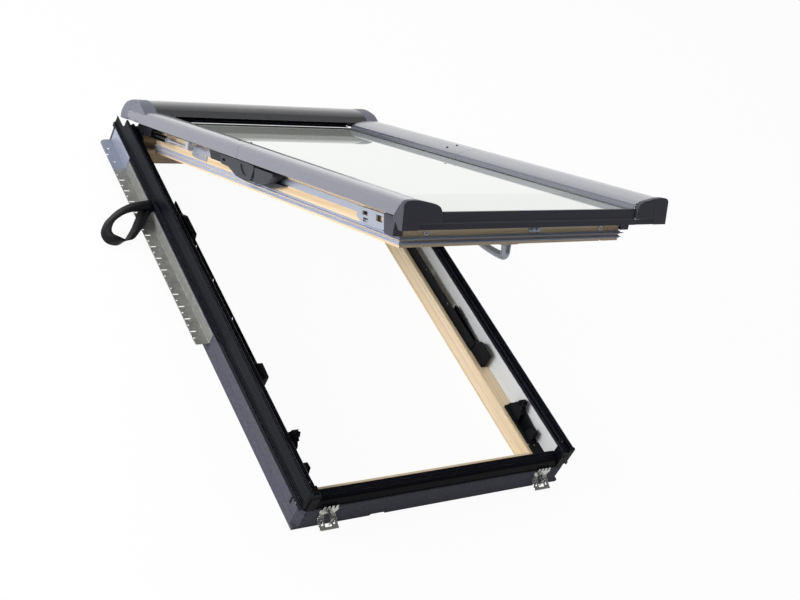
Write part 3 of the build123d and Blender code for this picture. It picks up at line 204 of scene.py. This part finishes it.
# Expanded bead foam with graphite: beads about 4 mm across pressed nearly flat, each a slightly different grey
foam = {
    "beadSize": 0.0042,
    "speckSize": 0.0012,
    "beadShare": 0.35,
    "edge": 0.002,
    "relief": 0.0008,
    "tones": [(0.3, "#44454E"), (0.65, "#4E4F59"), (1.0, "#5A5B66")],
}
beadFoam, tree, shader, coords = newSurface("beadFoam", {"Roughness": 0.85, "IOR": 1.4, "Specular IOR Level": 0.15})
beads = addNode(
    tree, "ShaderNodeTexVoronoi", {"Scale": 1 / foam["beadSize"], "Randomness": 0.9}, {"Vector": coords}
)
specks = addNode(tree, "ShaderNodeTexNoise", {"Scale": 1 / foam["speckSize"], "Detail": 2.0}, {"Vector": coords})
toneOfBead = addNode(tree, "ShaderNodeSeparateColor", links={"Color": beads.outputs["Color"]})
tone = addNode(
    tree,
    "ShaderNodeMath",
    {"operation": "MULTIPLY_ADD", 1: foam["beadShare"]},
    {0: toneOfBead.outputs["Red"], 2: specks.outputs["Fac"]},
)
colour = addNode(tree, "ShaderNodeValToRGB", {"stops": foam["tones"]}, {"Fac": tone.outputs[0]})
tree.links.new(colour.outputs["Color"], shader.inputs["Base Color"])
bump = addNode(  # beads stand out, so the distance is negative
    tree,
    "ShaderNodeBump",
    {"Strength": 0.12, "Distance": -foam["relief"]},
    {"Height": beads.outputs["Distance"], "Normal": roundedEdge(tree, foam["edge"])[0]},
)
tree.links.new(bump.outputs["Normal"], shader.inputs["Normal"])
dress(beadFoam, "foam_left", "foam_right", "foam_bottom", "foam_top")


reliefDepth = 0.0002  # of the texture of plastics and sheet, in metres


def mouldedPlastic(name, look):
    material, tree, shader, coords = newSurface(
        name,
        {
            "Base Color": linear(look["colour"]),
            "Roughness": look["roughness"],
            "IOR": 1.5,
            "Specular IOR Level": look["shine"],
        },
    )
    texture = addNode(tree, "ShaderNodeTexNoise", {"Scale": 1 / look["grain"], "Detail": 3.0}, {"Vector": coords})
    rough = addNode(
        tree,
        "ShaderNodeMapRange",
        {"To Min": look["roughness"] - 0.06, "To Max": look["roughness"] + 0.08},
        {"Value": texture.outputs["Fac"]},
    )
    tree.links.new(rough.outputs["Result"], shader.inputs["Roughness"])
    # painted highlight along the edges, in the look's edge colour
    bump = addNode(
        tree,
        "ShaderNodeBump",
        {"Strength": look["relief"], "Distance": reliefDepth},
        {"Height": texture.outputs["Fac"], "Normal": paintEdgeHighlight(tree, shader, look)},
    )
    tree.links.new(bump.outputs["Normal"], shader.inputs["Normal"])
    return material


# Extruded PVC gutters: smooth and half glossy, their rounded ribs catch a bright line, here a painted highlight
# along the edges
extrudedPvc = mouldedPlastic(
    "extrudedPvc",
    {
        "colour": "#07080C",
        "edgeHighlightColour": "#5F6278",
        "roughness": 0.3,
        "shine": 0.05,
        "grain": 0.02,
        "relief": 0.05,
        "edge": 0.0012,
    },
)
dress(extrudedPvc, "gutter_bottom", "gutter_top", "hood_trim")

# Painted highlight on the side gutters' outer walls: four fine lines, paler than the black, where extruded ribs
# catch the light, at these heights in metres
sideGutter = {"ribs": [0.0985, 0.1065, 0.1165, 0.1245], "ribWidth": 0.0012, "ribHighlightTone": "#2C2E3C"}
sidePvc = extrudedPvc.copy()
sidePvc.name = "extrudedPvcRibHighlights"
tree = sidePvc.node_tree
shader = next(n for n in tree.nodes if n.type == "BSDF_PRINCIPLED")
plainTone = shader.inputs["Base Color"].links[0].from_socket
place = addNode(tree, "ShaderNodeTexCoord")
height = addNode(tree, "ShaderNodeSeparateXYZ", links={"Vector": place.outputs["Object"]})
ribHighlightMask = None
for ribHeight in sideGutter["ribs"]:
    near = addNode(
        tree,
        "ShaderNodeMath",
        {"operation": "COMPARE", 1: ribHeight, 2: sideGutter["ribWidth"] / 2},
        {0: height.outputs["Z"]},
    )
    if ribHighlightMask is None:
        ribHighlightMask = near
    else:
        ribHighlightMask = addNode(
            tree, "ShaderNodeMath", {"operation": "MAXIMUM"}, {0: ribHighlightMask.outputs[0], 1: near.outputs[0]}
        )
# painted highlight: the rib heights are drawn in the paler tone
tone = addNode(
    tree,
    "ShaderNodeMix",
    {"data_type": "RGBA", 7: linear(sideGutter["ribHighlightTone"])},
    {0: ribHighlightMask.outputs[0], 6: plainTone},
)
tree.links.new(tone.outputs[2], shader.inputs["Base Color"])
dress(sidePvc, "gutter_left", "gutter_right")

# Moulded polyamide fittings: fine eroded texture, dull
mouldedBlack = mouldedPlastic(
    "mouldedPolyamideBlack",
    {
        "colour": "#0B0C10",
        "edgeHighlightColour": "#2E303A",
        "roughness": 0.45,
        "shine": 0.07,
        "grain": 0.0012,
        "relief": 0.2,
        "edge": 0.001,
    },
)
dress(
    mouldedBlack,
    "corner_cover_left",
    "corner_cover_right",
    "keepers",
    "stay_bars",
    "stay_blocks",
    "guide_blocks",
    "stop_plates",
    "cover_screws",
)
mouldedGrey = mouldedPlastic(
    "mouldedPolyamideGrey",
    {
        "colour": "#33343B",
        "edgeHighlightColour": "#595B66",
        "roughness": 0.42,
        "shine": 0.25,
        "grain": 0.0012,
        "relief": 0.2,
        "edge": 0.001,
    },
)
dress(mouldedGrey, "pivot_guides", "pivot_shoes")

# Liners: smooth pale extruded plastic with a soft shine
linerPlastic = mouldedPlastic(
    "extrudedLinerPlastic",
    {
        "colour": "#D2D4D7",
        "edgeHighlightColour": "#F2F3F5",
        "roughness": 0.38,
        "shine": 0.4,
        "grain": 0.01,
        "relief": 0.05,
        "edge": 0.0008,
    },
)
dress(linerPlastic, "liner_left", "liner_right")

# Painted caps of the covers, moulded and sprayed in the colour of the sheet
hoodCapPlastic = mouldedPlastic(
    "paintedHoodCap",
    {
        "colour": "#666874",
        "edgeHighlightColour": "#9A9CA8",
        "roughness": 0.4,
        "shine": 0.35,
        "grain": 0.0015,
        "relief": 0.1,
        "edge": 0.0012,
    },
)
dress(hoodCapPlastic, "hood_cap_left", "hood_cap_right")
# painted shade: the corner caps are drawn in the sheet's grey made darker, like the shaded bottom cover
shadedCornerCapPlastic = mouldedPlastic(
    "sprayedCornerCapPaintedShade",
    {
        "colour": "#3B3C45",
        "edgeHighlightColour": "#8B8D98",
        "roughness": 0.4,
        "shine": 0.3,
        "grain": 0.0015,
        "relief": 0.1,
        "edge": 0.0012,
    },
)
dress(shadedCornerCapPlastic, "corner_cap_left", "corner_cap_right")

# Seals: silver grey rubber round the sash, darker grey at the edge of the glass
sealRubber = mouldedPlastic(
    "silverGreySeal",
    {
        "colour": "#9DA3B6",
        "edgeHighlightColour": "#D5DAE6",
        "roughness": 0.45,
        "shine": 0.4,
        "grain": 0.003,
        "relief": 0.08,
        "edge": 0.001,
    },
)
dress(sealRubber, "gasket_upper", "gasket_lower")
edgeSeal = mouldedPlastic(
    "greyEdgeSeal",
    {
        "colour": "#6C6E74",
        "edgeHighlightColour": "#85878D",
        "roughness": 0.5,
        "shine": 0.3,
        "grain": 0.003,
        "relief": 0.1,
        "edge": 0.001,
    },
)
dress(edgeSeal, "glass_spacer")
print("stage: plastics")


def sheetMetal(name, look):
    material, tree, shader, coords = newSurface(
        name,
        {
            "Base Color": linear(look["colour"]),
            "Roughness": look["roughness"],
            "Metallic": look["metallic"],
            "Specular IOR Level": look.get("shine", 0.5),
            "Coat Weight": look.get("coat", 0.0),
            "Coat Roughness": 0.12,
            "Coat IOR": 1.8,
        },
    )
    texture = addNode(tree, "ShaderNodeTexNoise", {"Scale": 1 / look["patch"], "Detail": 4.0}, {"Vector": coords})
    rough = addNode(
        tree,
        "ShaderNodeMapRange",
        {"To Min": look["roughness"] - look["uneven"], "To Max": look["roughness"] + look["uneven"]},
        {"Value": texture.outputs["Fac"]},
    )
    tree.links.new(rough.outputs["Result"], shader.inputs["Roughness"])
    # painted highlight along the edges, in the look's edge colour
    bump = addNode(
        tree,
        "ShaderNodeBump",
        {"Strength": look["relief"], "Distance": reliefDepth},
        {"Height": texture.outputs["Fac"], "Normal": paintEdgeHighlight(tree, shader, look)},
    )
    tree.links.new(bump.outputs["Normal"], shader.inputs["Normal"])
    return material


# each look's edge colour below is a painted highlight along its edges
metals = {
    # polyester-lacquered aluminium sheet: satin grey with a violet tinge, slightly uneven sheen
    "lacqueredAluminiumSheet": {
        "colour": "#656774",
        "edgeHighlightColour": "#A9ABB6",
        "roughness": 0.3,
        "metallic": 0.35,
        "coat": 1.0,
        "patch": 0.03,
        "uneven": 0.05,
        "relief": 0.04,
        "edge": 0.0012,
        "nodes": ["upper_cover_left", "upper_cover_right", "lower_cover_left", "lower_cover_right"],
    },
    # painted shade: the hood and the bottom cover are the same grey sheet drawn darker, for their faces turned from
    # the light
    "lacqueredAluminiumHoodPaintedShade": {
        "colour": "#28292D",
        "edgeHighlightColour": "#8E8F97",
        "roughness": 0.28,
        "metallic": 0.2,
        "coat": 1.0,
        "patch": 0.03,
        "uneven": 0.05,
        "relief": 0.04,
        "edge": 0.0012,
        "nodes": ["hood"],
    },
    "lacqueredAluminiumPaintedShade": {
        "colour": "#3A3B44",
        "edgeHighlightColour": "#7E808C",
        "roughness": 0.38,
        "metallic": 0.05,
        "shine": 0.3,
        "patch": 0.03,
        "uneven": 0.05,
        "relief": 0.04,
        "edge": 0.001,
        "nodes": ["bottom_cover"],
    },
    # coated steel arms and hinge plates
    "coatedArmSteel": {
        "colour": "#25262B",
        "edgeHighlightColour": "#50525B",
        "roughness": 0.42,
        "metallic": 0.3,
        "shine": 0.3,
        "patch": 0.006,
        "uneven": 0.06,
        "relief": 0.08,
        "edge": 0.0008,
        "nodes": ["lift_arms", "hinge_plates"],
    },
    "springSteel": {
        "colour": "#B4B5B0",
        "edgeHighlightColour": "#F2F2EE",
        "roughness": 0.22,
        "metallic": 1.0,
        "patch": 0.008,
        "uneven": 0.08,
        "relief": 0.05,
        "edge": 0.0009,
        "nodes": ["flashing_clips"],
    },
    "plainScrewSteel": {
        "colour": "#77787C",
        "edgeHighlightColour": "#A2A3A8",
        "roughness": 0.35,
        "metallic": 0.9,
        "patch": 0.004,
        "uneven": 0.05,
        "relief": 0.02,
        "edge": 0.0005,
        "nodes": ["frame_screws"],
    },
    "brightEyeletSteel": {
        "colour": "#C9CBD2",
        "edgeHighlightColour": "#F0F0F4",
        "roughness": 0.22,
        "metallic": 0.55,
        "patch": 0.004,
        "uneven": 0.05,
        "relief": 0.02,
        "edge": 0.0006,
        "nodes": ["eyelet_screws"],
    },
    # bright zinc-plated lock steel
    "zincPlatedLockSteel": {
        "colour": "#B0B6C4",
        "edgeHighlightColour": "#E6E9F0",
        "roughness": 0.3,
        "metallic": 0.85,
        "patch": 0.003,
        "uneven": 0.07,
        "relief": 0.05,
        "edge": 0.0008,
        "nodes": ["lock_rails", "lock_cases", "centre_latch"],
    },
    "satinAnodisedHandle": {
        "colour": "#8F949C",
        "edgeHighlightColour": "#D5D8DC",
        "roughness": 0.34,
        "metallic": 0.9,
        "patch": 0.002,
        "uneven": 0.05,
        "relief": 0.03,
        "edge": 0.002,
        "nodes": ["handle", "handle_rose"],
    },
    "paleZinc": {
        "colour": "#A4A9BA",
        "edgeHighlightColour": "#DFE2EA",
        "roughness": 0.42,
        "metallic": 0.6,
        "patch": 0.01,
        "uneven": 0.06,
        "relief": 0.04,
        "edge": 0.0008,
        "nodes": ["end_bracket_left", "end_bracket_right"],
    },
}
for metalName, look in metals.items():
    dress(sheetMetal(metalName, look), *look["nodes"])

# Gas struts: black tube for the upper half, a ground bright rod and a bright end below it
strut = {"tubeEnd": 0.1486, "blur": 0.0005, "rodTone": "#B9BCC6", "tubeTone": "#121318", "scratchScale": 900.0}
strutSteel, tree, shader, coords = newSurface("strutSteel", {"Metallic": 0.6})
alongSash = addNode(tree, "ShaderNodeVectorMath", {"operation": "DOT_PRODUCT"}, {0: coords})
alongSash.inputs[1].default_value = downSash
below = addNode(
    tree,
    "ShaderNodeMapRange",
    {"From Min": hingeReach + strut["tubeEnd"], "From Max": hingeReach + strut["tubeEnd"] + strut["blur"]},
    {"Value": alongSash.outputs["Value"]},
)
colour = addNode(
    tree,
    "ShaderNodeMix",
    {"data_type": "RGBA", 6: linear(strut["tubeTone"]), 7: linear(strut["rodTone"])},
    {0: below.outputs["Result"]},
)
tree.links.new(colour.outputs[2], shader.inputs["Base Color"])
scratches = addNode(tree, "ShaderNodeTexNoise", {"Scale": strut["scratchScale"], "Detail": 2.0}, {"Vector": coords})
rough = addNode(tree, "ShaderNodeMapRange", {"To Min": 0.22, "To Max": 0.36}, {"Value": scratches.outputs["Fac"]})
tree.links.new(rough.outputs["Result"], shader.inputs["Roughness"])
dress(strutSteel, "struts")

# Hot-dip galvanised sheet: dull zinc with flakes about 9 mm across, and a near-white painted highlight along its
# edges and bend
galvanised = {
    "flakeSize": 0.009,
    "tones": [(0.0, "#8F8F8C"), (0.5, "#979794"), (1.0, "#A1A19E")],
    "edge": 0.0012,
    "edgeHighlightTone": "#EDEDEA",
    "relief": 0.0002,
}
galvanisedSheet, tree, shader, coords = newSurface("galvanisedSheet", {"Roughness": 0.45, "Metallic": 0.55})
flakes = addNode(
    tree, "ShaderNodeTexVoronoi", {"Scale": 1 / galvanised["flakeSize"], "Randomness": 1.0}, {"Vector": coords}
)
toneOfFlake = addNode(tree, "ShaderNodeSeparateColor", links={"Color": flakes.outputs["Color"]})
zinc = addNode(
    tree, "ShaderNodeValToRGB", {"stops": galvanised["tones"]}, {"Fac": toneOfFlake.outputs["Green"]}
)
zincNormal, zincHighlightMask = roundedEdge(tree, galvanised["edge"])
# painted highlight: the zinc turns near white along the edges
colour = addNode(
    tree,
    "ShaderNodeMix",
    {"data_type": "RGBA", 7: linear(galvanised["edgeHighlightTone"])},
    {0: zincHighlightMask, 6: zinc.outputs["Color"]},
)
tree.links.new(colour.outputs[2], shader.inputs["Base Color"])
rough = addNode(
    tree, "ShaderNodeMapRange", {"To Min": 0.4, "To Max": 0.52}, {"Value": toneOfFlake.outputs["Red"]}
)
tree.links.new(rough.outputs["Result"], shader.inputs["Roughness"])
bump = addNode(
    tree,
    "ShaderNodeBump",
    {"Strength": 0.03, "Distance": galvanised["relief"]},
    {"Height": toneOfFlake.outputs["Blue"], "Normal": zincNormal},
)
tree.links.new(bump.outputs["Normal"], shader.inputs["Normal"])
dress(galvanisedSheet, "mounting_plates")
print("stage: metals")

# Coated insulating glass: pale green white from outside, with a clear mirror image of what stands on it.
# A slightly darker strip at its foot stands for the bottom rail behind the glass.
glass = {"paneTone": "#D9DFD6", "stripTone": "#C3C9C0", "stripStart": 1.173, "blur": 0.001, "waveScale": 2.5}
coatedGlass, tree, shader, coords = newSurface(
    "coatedGlass",
    {"Roughness": 0.015, "IOR": 1.52, "Coat Weight": 1.0, "Coat IOR": 1.8, "Coat Roughness": 0.01},
)
alongSash = addNode(tree, "ShaderNodeVectorMath", {"operation": "DOT_PRODUCT"}, {0: coords})
alongSash.inputs[1].default_value = downSash
stripAt = glass["stripStart"] - hingeOnSash[0] + hingeReach
overRail = addNode(
    tree,
    "ShaderNodeMapRange",
    {"From Min": stripAt, "From Max": stripAt + glass["blur"]},
    {"Value": alongSash.outputs["Value"]},
)
colour = addNode(
    tree,
    "ShaderNodeMix",
    {"data_type": "RGBA", 6: linear(glass["paneTone"]), 7: linear(glass["stripTone"])},
    {0: overRail.outputs["Result"]},
)
tree.links.new(colour.outputs[2], shader.inputs["Base Color"])
waves = addNode(tree, "ShaderNodeTexNoise", {"Scale": glass["waveScale"], "Detail": 1.0}, {"Vector": coords})
bump = addNode(  # roller waves of toughened glass
    tree, "ShaderNodeBump", {"Strength": 0.02, "Distance": 0.002}, {"Height": waves.outputs["Fac"]}
)
tree.links.new(bump.outputs["Normal"], shader.inputs["Normal"])
dress(coatedGlass, "glass_outer", "glass_inner")
print("stage: glass")

# Cast handle: a post below the rose and a bowed grip that tapers up the slope
handle = {
    "sashFace": -0.0854,
    "route": [  # down the sash, out of the sash's face, radius
        (1.284, -0.0083, 0.0128),
        (1.284, -0.018, 0.0122),
        (1.2845, -0.029, 0.0118),
        (1.279, -0.0365, 0.0108),
        (1.262, -0.0375, 0.0098),
        (1.235, -0.034, 0.0094),
        (1.205, -0.0295, 0.009),
        (1.180, -0.0235, 0.0082),
        (1.168, -0.0195, 0.0062),
        (1.164, -0.0178, 0.0025),
    ],
    "flatten": 0.86,
    "mergeWithin": 0.00001,
}
grip = bpy.data.curves.new("handleRoute", "CURVE")
grip.dimensions = "3D"
grip.bevel_depth = 1.0
grip.bevel_resolution = 7
grip.use_fill_caps = True
line = grip.splines.new("NURBS")
line.points.add(len(handle["route"]) - 1)
for knot, (down, out, radius) in zip(line.points, handle["route"]):
    ds = down - hingeOnSash[0]
    dn = handle["sashFace"] + out - hingeOnSash[1]
    y = hinge[0] - ds * math.cos(openAngle) + dn * math.sin(openAngle)
    z = hinge[1] + ds * math.sin(openAngle) + dn * math.cos(openAngle)
    knot.co = (0, y, z, 1)
    knot.radius = radius
line.order_u = 3
line.use_endpoint_u = True
line.resolution_u = 8
gripHolder = bpy.data.objects.new("handleRoute", grip)
bpy.context.scene.collection.objects.link(gripHolder)
gripMesh = bpy.data.meshes.new_from_object(gripHolder)
bpy.data.objects.remove(gripHolder)
shape = bmesh.new()
shape.from_mesh(gripMesh)
bmesh.ops.remove_doubles(shape, verts=shape.verts, dist=handle["mergeWithin"])
bmesh.ops.scale(shape, verts=shape.verts, vec=(handle["flatten"], 1, 1))
bmesh.ops.recalc_face_normals(shape, faces=shape.faces)
shape.to_mesh(gripMesh)
shape.free()
for polygon in gripMesh.polygons:
    polygon.use_smooth = True
castHandle = bpy.data.objects.new("castHandle", gripMesh)
bpy.context.scene.collection.objects.link(castHandle)
gripMesh.materials.clear()
gripMesh.materials.append(nodes["handle"].data.materials[0])
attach(castHandle, "handle")
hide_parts("handle")
print("stage: handle")

# Strap: satin polyester webbing, folded back on itself and hanging from the left side, ribs across it
strap = {
    "width": 0.036,
    "thick": 0.0016,
    "ribSpacing": 0.0016,
    "ribRelief": 0.0003,
    "tone": "#0A0B0F",
    "shift": -0.045,  # of all the points, along Y
    "slackSide": (-0.45, 0.2, -0.8),
    "points": [
        (-0.4103, 1.045, 0.0695),
        (-0.444, 1.043, 0.065),
        (-0.480, 1.035, 0.063),
        (-0.516, 1.020, 0.053),
        (-0.541, 1.000, 0.036),
        (-0.545, 0.978, 0.022),
        (-0.524, 0.958, 0.0195),
        (-0.498, 0.957, 0.022),
        (-0.473, 0.975, 0.038),
        (-0.452, 1.002, 0.050),
        (-0.431, 1.030, 0.061),
        (-0.4103, 1.044, 0.0665),
    ],
}
route = bpy.data.curves.new("strapRoute", "CURVE")
route.dimensions = "3D"
line = route.splines.new("BEZIER")
line.bezier_points.add(len(strap["points"]) - 1)
for knot, (x, y, z) in zip(line.bezier_points, strap["points"]):
    knot.co = (x, y + strap["shift"], z)
    knot.handle_left_type = "AUTO"
    knot.handle_right_type = "AUTO"
line.resolution_u = 5
routeHolder = bpy.data.objects.new("strapRoute", route)
bpy.context.scene.collection.objects.link(routeHolder)
routeMesh = bpy.data.meshes.new_from_object(routeHolder)
steps = [v.co.copy() for v in routeMesh.vertices]
bpy.data.objects.remove(routeHolder)
bpy.data.meshes.remove(routeMesh)
slope = Vector((0, 1, 0))
slack = Vector(strap["slackSide"])  # the loop's slack end leans over
headings = [(after - before).normalized() for before, after in zip(steps, steps[1:])]
headings.append(headings[-1])
sides = []
for i, heading in enumerate(headings):
    lean = math.sin(math.pi * i / (len(headings) - 1)) ** 2
    side = slope.lerp(slack, lean)
    sides.append((side - heading * side.dot(heading)).normalized())
shape = bmesh.new()
half = strap["width"] / 2
ends = [shape.verts.new(steps[0] + sides[0] * reach) for reach in (-half, 0, half)]
edges = [shape.edges.new(pair) for pair in zip(ends, ends[1:])]
uvLayer = shape.loops.layers.uv.new("along")  # across the width from 0 to 1, along the length in metres
travelled = 0.0
for i in range(1, len(steps)):
    stretch = (steps[i] - steps[i - 1]).length
    made = bmesh.ops.extrude_edge_only(shape, edges=edges)["geom"]
    fresh = [g for g in made if isinstance(g, bmesh.types.BMVert)]
    bmesh.ops.translate(shape, verts=fresh, vec=steps[i] - steps[i - 1])
    bmesh.ops.rotate(
        shape,
        verts=fresh,
        cent=steps[i],
        matrix=sides[i - 1].rotation_difference(sides[i]).to_matrix(),
    )
    edges = [g for g in made if isinstance(g, bmesh.types.BMEdge) and all(v in fresh for v in g.verts)]
    for face in [g for g in made if isinstance(g, bmesh.types.BMFace)]:
        for loop in face.loops:
            isFresh = loop.vert in fresh
            middle, side = (steps[i], sides[i]) if isFresh else (steps[i - 1], sides[i - 1])
            loop[uvLayer].uv = (
                (loop.vert.co - middle).dot(side) / strap["width"] + 0.5,
                travelled + (stretch if isFresh else 0.0),
            )
    travelled += stretch
strapMesh = bpy.data.meshes.new("strapWebbing")
shape.to_mesh(strapMesh)
shape.free()
strapPiece = bpy.data.objects.new("strapWebbing", strapMesh)
bpy.context.scene.collection.objects.link(strapPiece)
for polygon in strapMesh.polygons:
    polygon.use_smooth = True
thickness = strapPiece.modifiers.new("thickness", "SOLIDIFY")
thickness.thickness = strap["thick"]
thickness.offset = 0
webbing, tree, shader, coords = newSurface(
    "wovenWebbing",
    {
        "Base Color": linear(strap["tone"]),
        "Roughness": 0.4,
        "Specular IOR Level": 0.12,
        "Sheen Weight": 0.04,
        "Sheen Roughness": 0.4,
    },
)
along = addNode(tree, "ShaderNodeUVMap", {"uv_map": "along"})
split = addNode(tree, "ShaderNodeSeparateXYZ", links={"Vector": along.outputs["UV"]})
phase = addNode(
    tree,
    "ShaderNodeMath",
    {"operation": "MULTIPLY", 1: 2 * math.pi / strap["ribSpacing"]},
    {0: split.outputs["Y"]},
)
ribs = addNode(tree, "ShaderNodeMath", {"operation": "SINE"}, {0: phase.outputs[0]})
bump = addNode(
    tree, "ShaderNodeBump", {"Strength": 0.25, "Distance": strap["ribRelief"]}, {"Height": ribs.outputs[0]}
)
tree.links.new(bump.outputs["Normal"], shader.inputs["Normal"])
yarn = addNode(
    tree, "ShaderNodeMapRange", {"From Min": -1.0, "To Min": 0.5, "To Max": 0.34}, {"Value": ribs.outputs[0]}
)
tree.links.new(yarn.outputs["Result"], shader.inputs["Roughness"])
strapMesh.materials.append(webbing)
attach(strapPiece, "frame")
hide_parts("strap_loop")

# Floor: pale, white to the camera and in reflections, where it keeps a soft shadow of the object
ground = {"halfSize": 60, "drop": 0.0005, "tone": "#EDEDED", "glowShare": 0.95}
floorMesh = bpy.data.meshes.new("floor")
shape = bmesh.new()
bmesh.ops.create_grid(shape, x_segments=1, y_segments=1, size=ground["halfSize"])
bmesh.ops.translate(shape, verts=shape.verts, vec=(0, 0, -ground["drop"]))
shape.to_mesh(floorMesh)
shape.free()
floor = bpy.data.objects.new("floor", floorMesh)
bpy.context.scene.collection.objects.link(floor)
paleFloor, tree, shader, coords = newSurface(
    "paleFloor", {"Base Color": linear(ground["tone"]), "Roughness": 0.9, "Specular IOR Level": 0.1}
)
rays = addNode(tree, "ShaderNodeLightPath")
cameraOrGlossy = addNode(
    tree,
    "ShaderNodeMath",
    {"operation": "MAXIMUM"},
    {0: rays.outputs["Is Camera Ray"], 1: rays.outputs["Is Glossy Ray"]},
)
seen = addNode(
    tree,
    "ShaderNodeMath",
    {"operation": "MAXIMUM"},
    {0: cameraOrGlossy.outputs[0], 1: rays.outputs["Is Transmission Ray"]},
)
share = addNode(tree, "ShaderNodeMath", {"operation": "MULTIPLY", 1: ground["glowShare"]}, {0: seen.outputs[0]})
whiteGlow = addNode(tree, "ShaderNodeEmission", {"Color": (1, 1, 1, 1), "Strength": 1.0})
blended = addNode(
    tree,
    "ShaderNodeMixShader",
    links={0: share.outputs[0], 1: shader.outputs[0], 2: whiteGlow.outputs[0]},
)
output = next(n for n in tree.nodes if n.type == "OUTPUT_MATERIAL")
tree.links.new(blended.outputs[0], output.inputs["Surface"])
floorMesh.materials.append(paleFloor)

# World: white behind the object, and to reflections a dark card on the lower side of the window, light
# elsewhere up to the horizon, and a dark ceiling above it
studio = {
    "cardEnds": (-0.75, -0.2),
    "cardLight": 0.3,
    "ceilingEnds": (0.15, 0.6),
    "ceilingLight": 0.25,
    "fill": 0.55,
}
world = bpy.data.worlds.new("studio")
bpy.context.scene.world = world
world.use_nodes = True
tree = world.node_tree
tree.nodes.clear()
rays = addNode(tree, "ShaderNodeLightPath")
towards = addNode(tree, "ShaderNodeTexCoord")
split = addNode(tree, "ShaderNodeSeparateXYZ", links={"Vector": towards.outputs["Generated"]})
card = addNode(
    tree,
    "ShaderNodeMapRange",
    {
        "From Min": studio["cardEnds"][0],
        "From Max": studio["cardEnds"][1],
        "To Min": studio["cardLight"],
        "To Max": 1.0,
    },
    {"Value": split.outputs["Y"]},
)
ceiling = addNode(
    tree,
    "ShaderNodeMapRange",
    {
        "From Min": studio["ceilingEnds"][0],
        "From Max": studio["ceilingEnds"][1],
        "To Min": 1.0,
        "To Max": studio["ceilingLight"],
    },
    {"Value": split.outputs["Z"]},
)
mirrored = addNode(
    tree, "ShaderNodeMath", {"operation": "MULTIPLY"}, {0: card.outputs["Result"], 1: ceiling.outputs["Result"]}
)
soft = addNode(tree, "ShaderNodeMath", {"operation": "MULTIPLY", 1: studio["fill"]}, {0: card.outputs["Result"]})
lit = addNode(
    tree,
    "ShaderNodeMix",
    {"data_type": "FLOAT"},
    {0: rays.outputs["Is Glossy Ray"], 2: soft.outputs[0], 3: mirrored.outputs[0]},
)
plain = addNode(
    tree,
    "ShaderNodeMath",
    {"operation": "MAXIMUM"},
    {0: rays.outputs["Is Camera Ray"], 1: rays.outputs["Is Transmission Ray"]},
)
strength = addNode(
    tree, "ShaderNodeMix", {"data_type": "FLOAT", 3: 1.0}, {0: plain.outputs[0], 2: lit.outputs[0]}
)
sky = addNode(
    tree, "ShaderNodeBackground", {"Color": (1, 1, 1, 1)}, {"Strength": strength.outputs[0]}
)
addNode(tree, "ShaderNodeOutputWorld", links={"Surface": sky.outputs[0]})

lamps = {
    "sideLamp": {"place": (-3.6, 0.9, 1.5), "target": (0, 0.6, 0.3), "size": 1.8, "power": 125},
    "topLamp": {"place": (0.4, 1.6, 3.8), "target": (0, 0.6, 0.2), "size": 2.0, "power": 45},
}
for lampName, look in lamps.items():
    lamp = bpy.data.lights.new(lampName, "AREA")
    lamp.shape = "SQUARE"
    lamp.size = look["size"]
    lamp.energy = look["power"]
    holder = bpy.data.objects.new(lampName, lamp)
    bpy.context.scene.collection.objects.link(holder)
    holder.location = look["place"]
    aim = Vector(look["target"]) - Vector(look["place"])
    holder.rotation_euler = aim.to_track_quat("-Z", "Y").to_euler()
print("stage: floor and light")

# Camera at the photograph's angle, worked out from the object's own edges
camera = {
    "place": (-1.9872, -1.5323, 2.4096),
    "right": (0.77376, -0.47186, 0.42267),
    "down": (-0.02547, -0.68985, -0.72351),
    "forward": (0.63297, 0.54905, -0.54580),
    "focalPixels": 1345.8,
    "centre": (505.66, 239.0),
    "imageSize": (800, 600),
    "sensorWidth": 36,
}
lens = bpy.data.cameras.new("photoCamera")
wide, high = camera["imageSize"]
lens.sensor_width = camera["sensorWidth"]
lens.lens = camera["focalPixels"] / wide * camera["sensorWidth"]
lens.shift_x = (wide / 2 - camera["centre"][0]) / wide
lens.shift_y = (camera["centre"][1] - high / 2) / wide
lens.clip_end = 200
photoCamera = bpy.data.objects.new("photoCamera", lens)
bpy.context.scene.collection.objects.link(photoCamera)
right, down, forward = (Vector(camera[axis]) for axis in ("right", "down", "forward"))
turn = Matrix((right, -down, -forward)).transposed()
photoCamera.matrix_world = Matrix.Translation(Vector(camera["place"])) @ turn.to_4x4()
bpy.context.scene.camera = photoCamera
bpy.context.scene.view_settings.view_transform = "Standard"
print("stage: camera")
